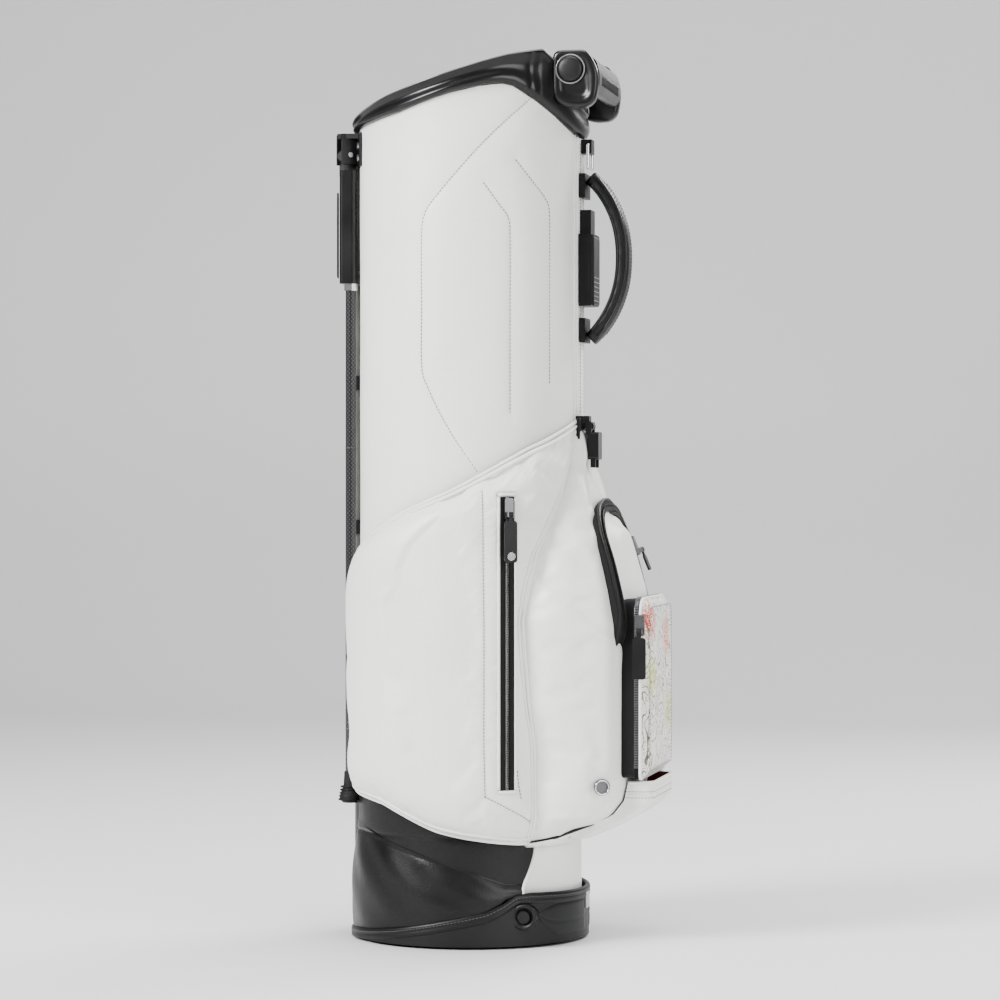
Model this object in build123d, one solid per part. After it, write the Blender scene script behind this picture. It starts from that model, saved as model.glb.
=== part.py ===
from build123d import *
import math
import os

# A golf carry bag with a folding stand. All sizes are in millimetres.
# Origin: the middle of the base's underside. +Z is up, +X points to the front, where the
# carry handle and the ball pocket are, and the two stand legs are on the -X side.
# "near" pieces are on the -Y side and "far" pieces mirror them on the +Y side.

# ---------------------------------------------------------------- driving dimensions
BODY_R = 110.5            # outer radius of the leather-covered tube
BAG_H = 872.0             # height of the collar's peak above the floor
BODY_WALL = 3.0           # foam and leather wall of the tube
SEAT = 0.2                # gap between pieces that are sewn or bonded face to face
RUN = 0.05                # radial running clearance of pins, rods and bails
CLEAR = 0.35              # clearance between moving pieces that do not touch
SOFT_WALL = 3.0           # padded leather wall of the pockets

COLLAR_OUT = BODY_R + 8.5   # outer radius of the moulded top collar
COLLAR_IN = BODY_R - 6.5    # mouth radius of the top collar
COLLAR_BACK_Z = BAG_H - 71  # underside of the collar at the back
COLLAR_PEAK_Z = BAG_H - 35  # underside of the collar at its highest point
RIM_BACK_Z = BAG_H - 64     # rim of the collar at the back
RIM_PEAK_Z = BAG_H          # rim of the collar at its highest point
RIM_FRONT_Z = BAG_H - 57    # rim of the collar at the very front

BASE_R = BODY_R + 7.5     # outer radius of the base cup
BASE_WALL = 3.0
BASE_FLOOR = 5.0          # thickness of the base floor
SOLE_R = BASE_R - 8
SOLE_T = 2.5              # rubber sole under the base
PIVOT_X = 74.0            # hinge of the base, ahead of the middle
PIVOT_Z = 31.0
PIVOT_BOLT_R = 5.0
PIVOT_CAP_R = PIVOT_BOLT_R + 1
PIVOT_BOSS_R = PIVOT_BOLT_R + 7
PIVOT_WALL_Y = math.sqrt(BASE_R ** 2 - PIVOT_X ** 2)   # cup wall beside the pivot
PIVOT_BOSS_IN = PIVOT_WALL_Y - 19.5   # inner and outer face of the boss
PIVOT_BOSS_OUT = PIVOT_WALL_Y + 5
ARM_T = 6.0               # frame arms that carry the pivot bolts
ARM_R = PIVOT_BOLT_R + 6

RING_OUT = BODY_R - BODY_WALL - SEAT   # lower frame ring, bonded inside the tube
RING_IN = RING_OUT - 8.3
RING_Z = 120.0
RING_H = 12.0

BAND_TOP_Z = 162.0        # black leather band round the foot of the tube
BAND_T = 1.6
SKIRT_T = 2.0             # folding leather skirt between the band and the base

BAR_T = 6.0               # padded bars of the top divider
BAR_H = 44.0
PANEL_T = 2.0             # fabric panels that hang under the bars
BACK_BAR_X = -38.0
FRONT_BAR_X = 35.0
STAY_R = 2.5              # stiffening rods in the wall

POCKET_R = BODY_R + 4.5   # side pockets: radius of their outer face in plan
POCKET_CX = -2.0          # and its centre
POCKET_CY = -30.0
POCKET_BACK_Y = -40.0     # back edge of the side pockets, clear of the legs
SEAM_GAP = 0.25           # half of the gap at the seam between side and front pocket

ZIP_X = 63.2              # side pocket zip
ZIP_TOP_Z = 437.0
ZIP_LOW_Z = 156.0
ZIP_W = 14.0
ZIP_T = 1.5

FRONT_X = BODY_R + 66.5   # front face of the front pocket
FRONT_Y = 84.0            # half width of that face
BALL_HALF_W = 75.0
BALL_TOP_Z = 339.0
BALL_LOW_Z = 164.0
BALL_ZIP_T = 6.0          # depth of the zip gusset round the ball pocket
BALL_CROWN_X = FRONT_X + 16

CUP_HALF_W = 62.0         # open holder below the ball pocket
CUP_LIP_Z = 160.0
CUP_LOW_Z = 104.0
CUP_X = BALL_CROWN_X + 2
CUP_WALL = 2.5

LEG_Y = 27.0              # legs, either side of the middle plane
LEG_X = -BODY_R - 6.5
LEG_R = 5.25
LEG_LOW_Z = 132.0         # underside of the rubber feet
FOOT_TOP_Z = 163.0
HINGE_X = -BODY_R - 9.5
HINGE_Z = BAG_H - 94
HINGE_LUG_R = 9.0
HINGE_LUG_W = 13.0
HINGE_PIN_R = 2.5
LEG_SPLAY = 31.0          # degrees each leg's swing is turned outwards
HOUSING_LOW_Z = HINGE_Z - 128
HOUSING_TOP_Z = HINGE_Z - 15
HOUSING_W = 18.0
BRACKET_T = 2.5
BRACKET_HALF_W = 48.0
BRACKET_LOW_Z = HINGE_Z - 12
BRACKET_TOP_Z = HINGE_Z + 21

ROD_X = -BODY_R - 6       # push rod between the legs
ROD_R = 3.0
ROD_LOW_Z = 10.2
ROD_TOP_Z = HOUSING_LOW_Z
YOKE_HALF_W = 14.0
YOKE_H = 14.0

SPINE_T = 3.0             # padded spine panel under the carry handle
SPINE_HALF_W = 28.0
SPINE_LOW_Z = 522.0
SPINE_TOP_Z = BAG_H - 86

GRIP_TOP_Z = SPINE_TOP_Z - 29   # carry handle
GRIP_LOW_Z = GRIP_TOP_Z - 167
GRIP_OUT_X = BODY_R + 52.5
GRIP_T = 14.5
GRIP_W = 26.0

RING_PIN_X = BODY_R + 10.5   # chrome ring on the spine
RING_PIN_Z = SPINE_TOP_Z - 1
RING_WIRE_R = 1.6
RING_W = 24.0
RING_DROP = 22.0

CLIP_X = BODY_R + 11      # buckle half that hangs at the top of the front pocket
CLIP_Y = -12.0
CLIP_W = 20.0
CLIP_TOP_Z = 503.0
CLIP_LOW_Z = 466.0

# ---------------------------------------------------------------- outlines in the side view
# Underside and rim of the collar, from the back to the front, as (x, z).
COLLAR_UNDERSIDE = [
    (-COLLAR_OUT - 1, COLLAR_BACK_Z), (-87, COLLAR_BACK_Z + 4), (-53, COLLAR_PEAK_Z - 26),
    (5, COLLAR_PEAK_Z - 9), (37, COLLAR_PEAK_Z - 2), (54, COLLAR_PEAK_Z), (66, COLLAR_PEAK_Z - 2),
    (86, COLLAR_PEAK_Z - 14), (103, COLLAR_PEAK_Z - 28), (COLLAR_OUT + 1, COLLAR_PEAK_Z - 46)]
COLLAR_RIM = [
    (-COLLAR_OUT - 1, RIM_BACK_Z), (-89, RIM_BACK_Z + 11), (-63, RIM_PEAK_Z - 44),
    (-17, RIM_PEAK_Z - 31), (22, RIM_PEAK_Z - 19), (59, RIM_PEAK_Z - 7), (90, RIM_PEAK_Z),
    (103, RIM_PEAK_Z - 14), (112, RIM_FRONT_Z + 18), (COLLAR_OUT + 1, RIM_FRONT_Z)]
# Rim of the base cup, low at the back so that the cup can tip up under the bag.
BASE_RIM = [
    (-BASE_R - 1, 9), (-52, 18), (-15, 24.5), (17, 31), (40, 36), (56, 44), (66, 51.5),
    (80, 53), (BASE_R + 1, 51)]
# Foot of the tube, cut away at the back where the tipped base comes up.
TUBE_FOOT = [(-BASE_R - 2, 118), (60, 60), (BASE_R + 2, 57)]
# Seam between the side pockets and the front pocket, from the bottom up.
POCKET_SEAM = [(88, 100), (88, 193), (83, 238), (77.5, 318), (84.5, 383), (99, 440),
               (BODY_R - 3.5, 500)]
# The rest of a side pocket's outline, from the top of the seam round to its foot.
SIDE_POCKET = [
    (84, 490), (60, 475), (5, 441), (-48, 416), (-85, 390), (2.5 - BODY_R, 370), (-BODY_R - 7.5, 342),
    (-BODY_R - 7.5, 165), (-100, 150), (-55, 140), (-5, 116), (40, 106)]
# The rest of the front pocket's outline, from the top of the seam down its front.
FRONT_POCKET = [
    (BODY_R + 2.5, 500), (BODY_R + 7.5, 470), (FRONT_X - 40, 426), (FRONT_X - 8, 346),
    (FRONT_X, 305), (FRONT_X, 150), (FRONT_X - 9, 122), (FRONT_X - 37, 108)]


# ---------------------------------------------------------------- helpers
def save(node, shape):
    """Write one sub-part."""
    export_step(shape, f"parts/{node}.step")


def prism(plane, points, low, high, wall=0.0):
    """Prism on an outline drawn in a plane; a wall moves the outline inwards."""
    face = make_face(Polyline(*points, close=True))
    if wall:
        face = offset(face, amount=-wall, kind=Kind.INTERSECTION)
    return plane * Pos(0, 0, low) * extrude(face, high - low)


def side_prism(points, y_low, y_high, wall=0.0):
    """Prism with the given (x, z) outline, from y_low to y_high."""
    return prism(Plane.XZ, points, -y_high, -y_low, wall)


def front_prism(points, x_low, x_high, wall=0.0):
    """Prism with the given (y, z) outline, from x_low to x_high."""
    return prism(Plane.YZ, points, x_low, x_high, wall)


def plan_prism(points, z_low, z_high, wall=0.0):
    """Prism with the given (x, y) outline, from z_low to z_high."""
    return prism(Plane.XY, points, z_low, z_high, wall)


def block(x_low, x_high, y_low, y_high, z_low, z_high):
    """Box between two corners."""
    size = (x_high - x_low, y_high - y_low, z_high - z_low)
    middle = ((x_low + x_high) / 2, (y_low + y_high) / 2, (z_low + z_high) / 2)
    return Pos(*middle) * Box(*size)


def post(radius, z_low, z_high, x=0.0, y=0.0):
    """Upright cylinder."""
    return Pos(x, y, (z_low + z_high) / 2) * Cylinder(radius, z_high - z_low)


def tube(r_out, r_in, z_low, z_high, x=0.0, y=0.0):
    """Upright tube."""
    return post(r_out, z_low, z_high, x, y) - post(r_in, z_low - 1, z_high + 1, x, y)


def pin_along_y(radius, y_low, y_high, x, z):
    """Cylinder whose axis is along Y."""
    return Pos(x, (y_low + y_high) / 2, z) * Rot(90, 0, 0) * Cylinder(radius, y_high - y_low)


def mirrored(shape):
    """The same piece on the far side."""
    return mirror(shape, about=Plane.XZ)


def shifted(points, dx=0.0, dz=0.0):
    """An outline moved by dx and dz."""
    return [(x + dx, z + dz) for x, z in points]


# ---------------------------------------------------------------- tube, collar and inside
WIDE = BASE_R + 60        # half width of tools that cut right across the bag
TALL = RIM_PEAK_Z + 50


def make_bag_shell():
    """Hollow tube under the collar, with the foot cut away for the tipping base."""
    outline = TUBE_FOOT + [(x, z - SEAT) for x, z in reversed(COLLAR_UNDERSIDE)]
    wall = tube(BODY_R, BODY_R - BODY_WALL, 0, TALL)
    return wall & side_prism(outline, -WIDE, WIDE)


def make_lower_band():
    """Black leather band round the foot of the tube."""
    outline = TUBE_FOOT[:2] + [(60, BAND_TOP_Z), (TUBE_FOOT[0][0], BAND_TOP_Z)]
    ring = tube(BODY_R + SEAT + BAND_T, BODY_R + SEAT, 0, BAND_TOP_Z)
    return ring & side_prism(outline, -WIDE, WIDE)


def make_top_collar():
    """Moulded ring with a rising rim."""
    outline = COLLAR_UNDERSIDE + list(reversed(COLLAR_RIM))
    return tube(COLLAR_OUT, COLLAR_IN, 0, TALL) & side_prism(outline, -WIDE, WIDE)


def rim_height(x):
    """Height of the collar's rim above x, between two points of its outline."""
    for (x_a, z_a), (x_b, z_b) in zip(COLLAR_RIM, COLLAR_RIM[1:]):
        if x_a <= x <= x_b:
            return z_a + (z_b - z_a) * (x - x_a) / (x_b - x_a)
    return RIM_FRONT_Z


def bar_top(x):
    """Top of the divider bar at x, set down inside the rim."""
    return rim_height(x) - 14


def chord(radius, x):
    """Half of the chord of a circle at x."""
    return math.sqrt(radius ** 2 - x ** 2)


def make_divider_top():
    """Three padded bars across the mouth."""
    bars = []
    for x in (BACK_BAR_X, FRONT_BAR_X):
        half = chord(BODY_R - BODY_WALL, abs(x) + BAR_T / 2) - SEAT
        if bar_top(x) > COLLAR_BACK_Z:
            half = chord(COLLAR_IN, abs(x) + BAR_T / 2) - SEAT
        bars.append(block(x - BAR_T / 2, x + BAR_T / 2, -half, half, bar_top(x) - BAR_H, bar_top(x)))
    top = bar_top(BACK_BAR_X)
    bars.append(block(BACK_BAR_X + BAR_T / 2 + SEAT, FRONT_BAR_X - BAR_T / 2 - SEAT,
                      -BAR_T / 2, BAR_T / 2, top - BAR_H, top))
    return Compound(bars)


def make_divider_panels():
    """Fabric panels that hang from the bars to the lower ring."""
    low = RING_Z + RING_H + SEAT
    plates = []
    for x in (BACK_BAR_X, FRONT_BAR_X):
        half = chord(BODY_R - BODY_WALL, abs(x) + PANEL_T / 2) - SEAT
        top = bar_top(x) - BAR_H - SEAT
        plates.append(block(x - PANEL_T / 2, x + PANEL_T / 2, -half, half, low, top))
    top = bar_top(BACK_BAR_X) - BAR_H - SEAT
    plates.append(block(BACK_BAR_X + PANEL_T / 2 + SEAT, FRONT_BAR_X - PANEL_T / 2 - SEAT,
                        -PANEL_T / 2, PANEL_T / 2, low, top))
    return Compound(plates)


def make_stay_rods():
    """Four stiff rods in the wall, from the lower ring to the collar."""
    ring = BODY_R - BODY_WALL - SEAT - STAY_R
    offset_xy = ring / math.sqrt(2)
    rods = []
    for sign_x in (-1, 1):
        for sign_y in (-1, 1):
            x = sign_x * offset_xy
            top = COLLAR_BACK_Z + 4 if sign_x < 0 else COLLAR_PEAK_Z - 5
            rods.append(post(STAY_R, RING_Z + RING_H + SEAT, top - SEAT, x, sign_y * offset_xy))
    return Compound([rod - tube(COLLAR_OUT, COLLAR_IN - SEAT, COLLAR_BACK_Z, TALL) for rod in rods])


def make_lower_ring():
    """Ring bonded inside the foot of the tube."""
    return tube(RING_OUT, RING_IN, RING_Z, RING_Z + RING_H)


def make_frame_arms():
    """Two arms from the ring down to the pivot bolts."""
    arm_out, x_low, x_high = PIVOT_BOSS_IN - CLEAR, PIVOT_X - 18, PIVOT_X + 2
    arms = []
    for side in (-1, 1):
        low, high = sorted((side * (arm_out - ARM_T), side * arm_out))
        bar = block(x_low, x_high, low, high, PIVOT_Z, RING_Z - SEAT)
        eye = pin_along_y(ARM_R, low, high, PIVOT_X, PIVOT_Z)
        hole = pin_along_y(PIVOT_BOLT_R + RUN, low - 1, high + 1, PIVOT_X, PIVOT_Z)
        low, high = sorted((side * (arm_out - ARM_T), side * (arm_out + 14)))
        foot = block(x_low, x_high, low, high, RING_Z - 6, RING_Z - SEAT)
        foot = foot & post(RING_OUT, 0, RING_Z)
        arms.append((bar + eye + foot) - hole)
    return Compound(arms)


def make_pivot_bolts():
    """Bolts that hold the base's bosses to the frame arms."""
    bolts = []
    for side in (-1, 1):
        low, high = PIVOT_BOSS_IN - CLEAR - ARM_T, PIVOT_BOSS_OUT + CLEAR
        shank = pin_along_y(PIVOT_BOLT_R, min(side * low, side * high), max(side * low, side * high),
                            PIVOT_X, PIVOT_Z)
        cap_out = high + 2.5
        cap = pin_along_y(PIVOT_CAP_R, min(side * high, side * cap_out),
                          max(side * high, side * cap_out), PIVOT_X, PIVOT_Z)
        bolts.append(shank + cap)
    return Compound(bolts)


# ---------------------------------------------------------------- base
def make_base_cup():
    """Moulded cup with a rim that is low at the back, and two pivot bosses."""
    outline = [(-BASE_R - 1, SOLE_T)] + BASE_RIM + [(BASE_R + 1, SOLE_T)]
    wall = tube(BASE_R, BASE_R - BASE_WALL, SOLE_T, 60) & side_prism(outline, -WIDE, WIDE)
    floor = post(BASE_R - BASE_WALL + 0.5, SOLE_T, SOLE_T + BASE_FLOOR)
    cup = wall + floor
    for side in (-1, 1):
        low, high = sorted((side * PIVOT_BOSS_IN, side * PIVOT_BOSS_OUT))
        cup = cup + pin_along_y(PIVOT_BOSS_R, low, high, PIVOT_X, PIVOT_Z)
    for side in (-1, 1):
        low, high = sorted((side * (PIVOT_BOSS_IN - 1), side * (PIVOT_BOSS_OUT + 1)))
        cup = cup - pin_along_y(PIVOT_BOLT_R + RUN, low, high, PIVOT_X, PIVOT_Z)
    return cup


def make_base_sole():
    """Rubber sole under the cup."""
    return fillet(post(SOLE_R, 0, SOLE_T).edges().sort_by(Axis.Z)[0], 1.0)


def make_base_badge():
    """Small plain metal tag on the front of the base."""
    wall = tube(BASE_R + SEAT + 1.2, BASE_R + SEAT, 30, 46)
    return wall & block(0, BASE_R + 10, -9, 9, 30, 46)


def make_skirt():
    """Soft leather skirt that folds up between the band and the base."""
    upper, lower = BODY_R + SEAT + BAND_T, BASE_R - 0.6
    z_low, z_high = 6.0, TUBE_FOOT[0][1]
    profile = [(upper - SKIRT_T, z_high), (upper, z_high), (lower, z_low), (lower - SKIRT_T, z_low)]
    cone = revolve(Plane.XZ * make_face(Polyline(*profile, close=True)), Axis.Z)
    outline = (shifted(BASE_RIM[:7], dz=0.8) + [(62, TUBE_FOOT[1][1] - 0.8)]
               + [(TUBE_FOOT[0][0], TUBE_FOOT[0][1] - 0.8)])
    slot = block(-BASE_R - 10, 0, -ROD_R - 2, ROD_R + 2, 0, TUBE_FOOT[0][1] + 5)
    return (cone & side_prism(outline, -WIDE, WIDE)) - slot


# ---------------------------------------------------------------- pockets
def side_pocket_solid(wall=0.0):
    """Full volume of the near side pocket, or of its inside."""
    outline = shifted(POCKET_SEAM, dx=-SEAM_GAP) + SIDE_POCKET
    swell = [(-90, 520), (-110, 500), (-150, 425), (-150, 150), (-112, 96), (-60, 96),
             (-10, 300), (-10, 520)]
    solid = side_prism(outline, -WIDE, 0, wall) & front_prism(swell, -WIDE, WIDE, wall)
    round_plan = post(POCKET_R - wall, 0, TALL, POCKET_CX, POCKET_CY)
    back_limit = block(-WIDE, WIDE, -WIDE, POCKET_BACK_Y - wall, 0, TALL)
    front_limit = block(60, WIDE, -WIDE, 0, 400 + wall, TALL)
    return solid & round_plan & (back_limit + front_limit)


def make_side_pocket():
    """Padded leather shell that is open towards the tube."""
    shell = side_pocket_solid() - side_pocket_solid(SOFT_WALL)
    shell = shell - post(BODY_R + SEAT, 0, TALL)
    return shell - post(BODY_R + SEAT * 2 + BAND_T, 0, BAND_TOP_Z + SEAT)


def pocket_zip_angle():
    """Angle of the side pocket zip round the pocket's own centre, from -Y."""
    return math.degrees(math.asin((ZIP_X - POCKET_CX) / POCKET_R))


def on_pocket(shape):
    """Move a piece built at the origin, outwards = -Y, to the zip of the near side pocket."""
    turned = Rot(0, 0, pocket_zip_angle()) * Pos(0, -POCKET_R, 0) * shape
    return Pos(POCKET_CX, POCKET_CY, 0) * turned


def make_side_zip():
    """Zip tape on the side pocket."""
    tape = tube(POCKET_R + SEAT + ZIP_T, POCKET_R + SEAT, ZIP_LOW_Z, ZIP_TOP_Z)
    window = block(-ZIP_W / 2, ZIP_W / 2, -2 * POCKET_R, 0, ZIP_LOW_Z, ZIP_TOP_Z)
    strip = tape & window
    return Pos(POCKET_CX, POCKET_CY, 0) * Rot(0, 0, pocket_zip_angle()) * strip


SLIDER_H = 20.0           # zip slider, its bail and its puller
SLIDER_W = 9.0
SLIDER_T = 3.4
BAIL_R = 1.0
BAIL_OUT = 3.2            # bail's centre line in front of the slider's face
EYE_R = 2.4
EYE_W = 4.0
TAB_W = 13.0
TAB_T = 2.0
TAB_L = 40.0
SHORT_TAB_L = 16.0        # on the small arched pocket


def make_slider():
    """Zip slider with two ears and a bail; its back at y = 0, its top at z = 0."""
    body = block(-SLIDER_W / 2, SLIDER_W / 2, -SLIDER_T, 0, -SLIDER_H, 0)
    body = fillet(body.edges().filter_by(Axis.Y), 2.0)
    axis_y, axis_z = -SLIDER_T - BAIL_OUT, -SLIDER_H + 4
    ears = None
    for side in (-1, 1):
        low, high = sorted((side * (EYE_W / 2 + CLEAR), side * (EYE_W / 2 + CLEAR + 1.4)))
        ear = block(low, high, axis_y - 1.8, -SLIDER_T, axis_z - 2.5, axis_z + 2.5)
        ears = ear if ears is None else ears + ear
    bail = Pos(0, axis_y, axis_z) * Rot(0, 90, 0) * Cylinder(BAIL_R, EYE_W + 2 * CLEAR + 2)
    return body + ears + bail


def make_puller(length=TAB_L):
    """Leather puller that hangs from the bail by its eye."""
    axis_y, axis_z = -SLIDER_T - BAIL_OUT, -SLIDER_H + 4
    eye = Pos(0, axis_y, axis_z) * Rot(0, 90, 0) * Cylinder(EYE_R, EYE_W)
    neck = block(-EYE_W / 2, EYE_W / 2, axis_y - TAB_T / 2, axis_y + TAB_T / 2, axis_z - 8, axis_z)
    low = axis_z - 6 - length
    tab = block(-TAB_W / 2, TAB_W / 2, axis_y - TAB_T / 2, axis_y + TAB_T / 2, low, axis_z - 6)
    tab = fillet(tab.edges().filter_by(Axis.Y), 3.0)
    hole = Pos(0, axis_y, axis_z) * Rot(0, 90, 0) * Cylinder(BAIL_R + RUN, EYE_W + 2)
    return (eye + neck + tab) - hole


def make_stud():
    """Round metal rivet on the puller."""
    axis_y, axis_z = -SLIDER_T - BAIL_OUT, -SLIDER_H + 4
    disc = Rot(90, 0, 0) * Cylinder(4.0, 1.2)
    return Pos(0, axis_y - TAB_T / 2 - 0.6, axis_z - TAB_L) * disc


def at_side_zip(shape):
    """A slider piece at the top of the near side pocket zip."""
    return on_pocket(Pos(0, -SEAT - ZIP_T - CLEAR, ZIP_TOP_Z - 1) * shape)


def front_pocket_solid(wall=0.0):
    """Full volume of the front pocket, or of its inside."""
    outline = shifted(POCKET_SEAM, dx=SEAM_GAP) + FRONT_POCKET
    swell = [(-108, 90), (-108, 318), (-97, 383), (-62, 440), (-24, 506)]
    swell = swell + [(-y, z) for y, z in reversed(swell)]
    plan = [(50, -108), (FRONT_X - 52, -108), (FRONT_X, -FRONT_Y), (FRONT_X, FRONT_Y),
            (FRONT_X - 52, 108), (50, 108)]
    return (side_prism(outline, -WIDE, WIDE, wall) & front_prism(swell, 0, WIDE, wall)
            & plan_prism(plan, 0, TALL, wall))


def make_front_pocket():
    """Large padded front pocket, open towards the tube."""
    shell = front_pocket_solid() - front_pocket_solid(SOFT_WALL)
    return shell - post(BODY_R + SEAT, 0, TALL)


# The sloping upper face of the front pocket carries the arched pocket.
SLOPE_LOW, SLOPE_HIGH = FRONT_POCKET[3], FRONT_POCKET[2]
SLOPE_RUN = (SLOPE_LOW[0] - SLOPE_HIGH[0], SLOPE_LOW[1] - SLOPE_HIGH[1])
SLOPE_L = math.hypot(*SLOPE_RUN)
SLOPE_ANGLE = math.degrees(math.atan2(SLOPE_RUN[0], -SLOPE_RUN[1]))
ARCH_HALF_W = 56.0
ARCH_BAND = 9.0
ARCH_MARGIN = 3.0


def on_slope(shape):
    """Move a piece built at the origin, outwards = +X, to the top of the sloping face."""
    return Pos(SLOPE_HIGH[0], 0, SLOPE_HIGH[1]) * Rot(0, -SLOPE_ANGLE, 0) * shape


def arch_block(half_w, z_low, z_high, x_low, x_high):
    """Rounded plate on the sloping face."""
    plate = block(x_low, x_high, -half_w, half_w, z_low, z_high)
    return fillet(plate.edges().filter_by(Axis.X).group_by(Axis.Z)[-1], min(28.0, half_w / 2))


def make_valuables_zip():
    """Raised zip loop of the arched pocket."""
    low, high = -SLOPE_L + ARCH_MARGIN, -ARCH_MARGIN
    outer = arch_block(ARCH_HALF_W, low, high, SEAT, SEAT + 3)
    inner = arch_block(ARCH_HALF_W - ARCH_BAND, low - 1, high - ARCH_BAND, SEAT - 1, SEAT + 4)
    return on_slope(outer - inner)


def make_valuables_panel():
    """Padded panel inside the zip loop."""
    low, high = -SLOPE_L + ARCH_MARGIN, -ARCH_MARGIN
    gap = ARCH_BAND + SEAT
    return on_slope(arch_block(ARCH_HALF_W - gap, low, high - gap, SEAT, SEAT + 5))


def at_valuables_zip(shape):
    """A slider piece at the top of the far run of the arched zip."""
    turned = Rot(0, 0, 90) * shape
    return on_slope(Pos(SEAT + 3 + CLEAR, ARCH_HALF_W - ARCH_BAND / 2, -30 - ARCH_MARGIN) * turned)


def make_ball_zip():
    """Zip gusset round the ball pocket."""
    outer = [(-BALL_HALF_W, BALL_LOW_Z), (-BALL_HALF_W, BALL_TOP_Z), (BALL_HALF_W, BALL_TOP_Z),
             (BALL_HALF_W, BALL_LOW_Z)]
    low, high = FRONT_X + SEAT, FRONT_X + SEAT + BALL_ZIP_T
    gusset = front_prism(outer, low, high) - front_prism(outer, low - 1, high + 1, 12)
    gusset = gusset & rounded_gate(BALL_HALF_W, BALL_TOP_Z)
    return gusset - block(low - 1, high + 1, -BALL_HALF_W + 12, BALL_HALF_W - 12, 0, BALL_LOW_Z + 20)


BALL_CORNER_R = 16.0


def rounded_gate(half_w, top):
    """Upright slab with two rounded top corners."""
    slab = block(0, WIDE + 60, -half_w, half_w, 0, top)
    return fillet(slab.edges().filter_by(Axis.X).group_by(Axis.Z)[-1], BALL_CORNER_R)


def make_ball_pocket():
    """Crowned front of the ball pocket, open at its back."""
    low = FRONT_X + SEAT * 2 + BALL_ZIP_T
    side = [(low, BALL_LOW_Z), (BALL_CROWN_X - 9, BALL_LOW_Z), (BALL_CROWN_X - 3, 215),
            (BALL_CROWN_X, 270), (BALL_CROWN_X, 312), (BALL_CROWN_X - 3, 330),
            (BALL_CROWN_X - 8, BALL_TOP_Z - 1), (low, BALL_TOP_Z - 1)]
    half = BALL_HALF_W - 1
    plan = [(low, -half), (BALL_CROWN_X - 7, -half), (BALL_CROWN_X, -half + 22),
            (BALL_CROWN_X, half - 22), (BALL_CROWN_X - 7, half), (low, half)]
    solid = side_prism(side, -WIDE, WIDE) & plan_prism(plan, 0, TALL)
    solid = solid & rounded_gate(half, BALL_TOP_Z - 1)
    hollow = side_prism(shifted(side, dx=-2), -half + 3, half - 3) & plan_prism(plan, 0, TALL, 1.6)
    hollow = hollow & block(0, WIDE + 60, -half, half, BALL_LOW_Z + 3, BALL_TOP_Z - 5)
    return solid - hollow


def at_ball_zip(shape):
    """A slider piece at the top of the near run of the ball pocket zip."""
    x = FRONT_X + SEAT + CLEAR + TAB_W / 2
    return Pos(x, -BALL_HALF_W - CLEAR, BALL_TOP_Z - BALL_CORNER_R) * shape


def make_holder_cup():
    """Open leather cup below the ball pocket."""
    back = FRONT_X + SEAT
    side = [(back, CUP_LOW_Z + 6), (back + 7, CUP_LOW_Z), (CUP_X - 4, CUP_LOW_Z + 10),
            (CUP_X, CUP_LIP_Z), (back, CUP_LIP_Z)]
    hollow = [(back - 5, CUP_LOW_Z + 9), (back + 7, CUP_LOW_Z + 3), (CUP_X - 4 - CUP_WALL, CUP_LOW_Z + 12),
              (CUP_X - CUP_WALL, CUP_LIP_Z + 5), (back - 5, CUP_LIP_Z + 5)]
    inner = side_prism(hollow, CUP_WALL - CUP_HALF_W, CUP_HALF_W - CUP_WALL)
    cup = side_prism(side, -CUP_HALF_W, CUP_HALF_W) - inner
    return cup - front_pocket_solid()


def make_pocket_badges():
    """Plain metal badge low on each side of the front pocket."""
    slope = math.degrees(math.atan2(108 - FRONT_Y, 52))
    middle_y = (108 + FRONT_Y) / 2
    turn = Rot(0, 0, slope) * Rot(90, 0, 0)
    disc = Pos(FRONT_X - 26.5, -middle_y - SEAT - 1.1, 158) * turn * Cylinder(8, 1.4)
    return Compound([disc, mirrored(disc)])


# ---------------------------------------------------------------- spine
def spine_sector(r_in, thickness, half_w, z_low, z_high):
    """Strip that follows the front of the tube."""
    ring = tube(r_in + thickness, r_in, z_low, z_high)
    return ring & block(0, WIDE, -half_w, half_w, z_low, z_high)


SPINE_FACE = BODY_R + SEAT + SPINE_T + SEAT


def make_spine_panel():
    """Padded panel behind the carry handle."""
    return spine_sector(BODY_R + SEAT, SPINE_T, SPINE_HALF_W, SPINE_LOW_Z, SPINE_TOP_Z)


def make_ring_tab():
    """Leather tab that holds the spine ring."""
    tab = block(SPINE_FACE - 4, RING_PIN_X + 3, -8, 8, RING_PIN_Z - 8, RING_PIN_Z + 6)
    tab = tab - post(SPINE_FACE, 0, TALL)
    return tab - pin_along_y(RING_WIRE_R + RUN, -10, 10, RING_PIN_X, RING_PIN_Z)


def make_spine_ring():
    """Rectangular chrome ring that hangs from the tab."""
    low = RING_PIN_Z - RING_DROP
    bars = None
    for z in (low, RING_PIN_Z):
        bar = pin_along_y(RING_WIRE_R, -RING_W / 2, RING_W / 2, RING_PIN_X, z)
        bars = bar if bars is None else bars + bar
    for side in (-1, 1):
        bars = bars + post(RING_WIRE_R, low, RING_PIN_Z, RING_PIN_X, side * RING_W / 2)
        for z in (low, RING_PIN_Z):
            bars = bars + Pos(RING_PIN_X, side * RING_W / 2, z) * Sphere(RING_WIRE_R)
    return bars


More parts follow.
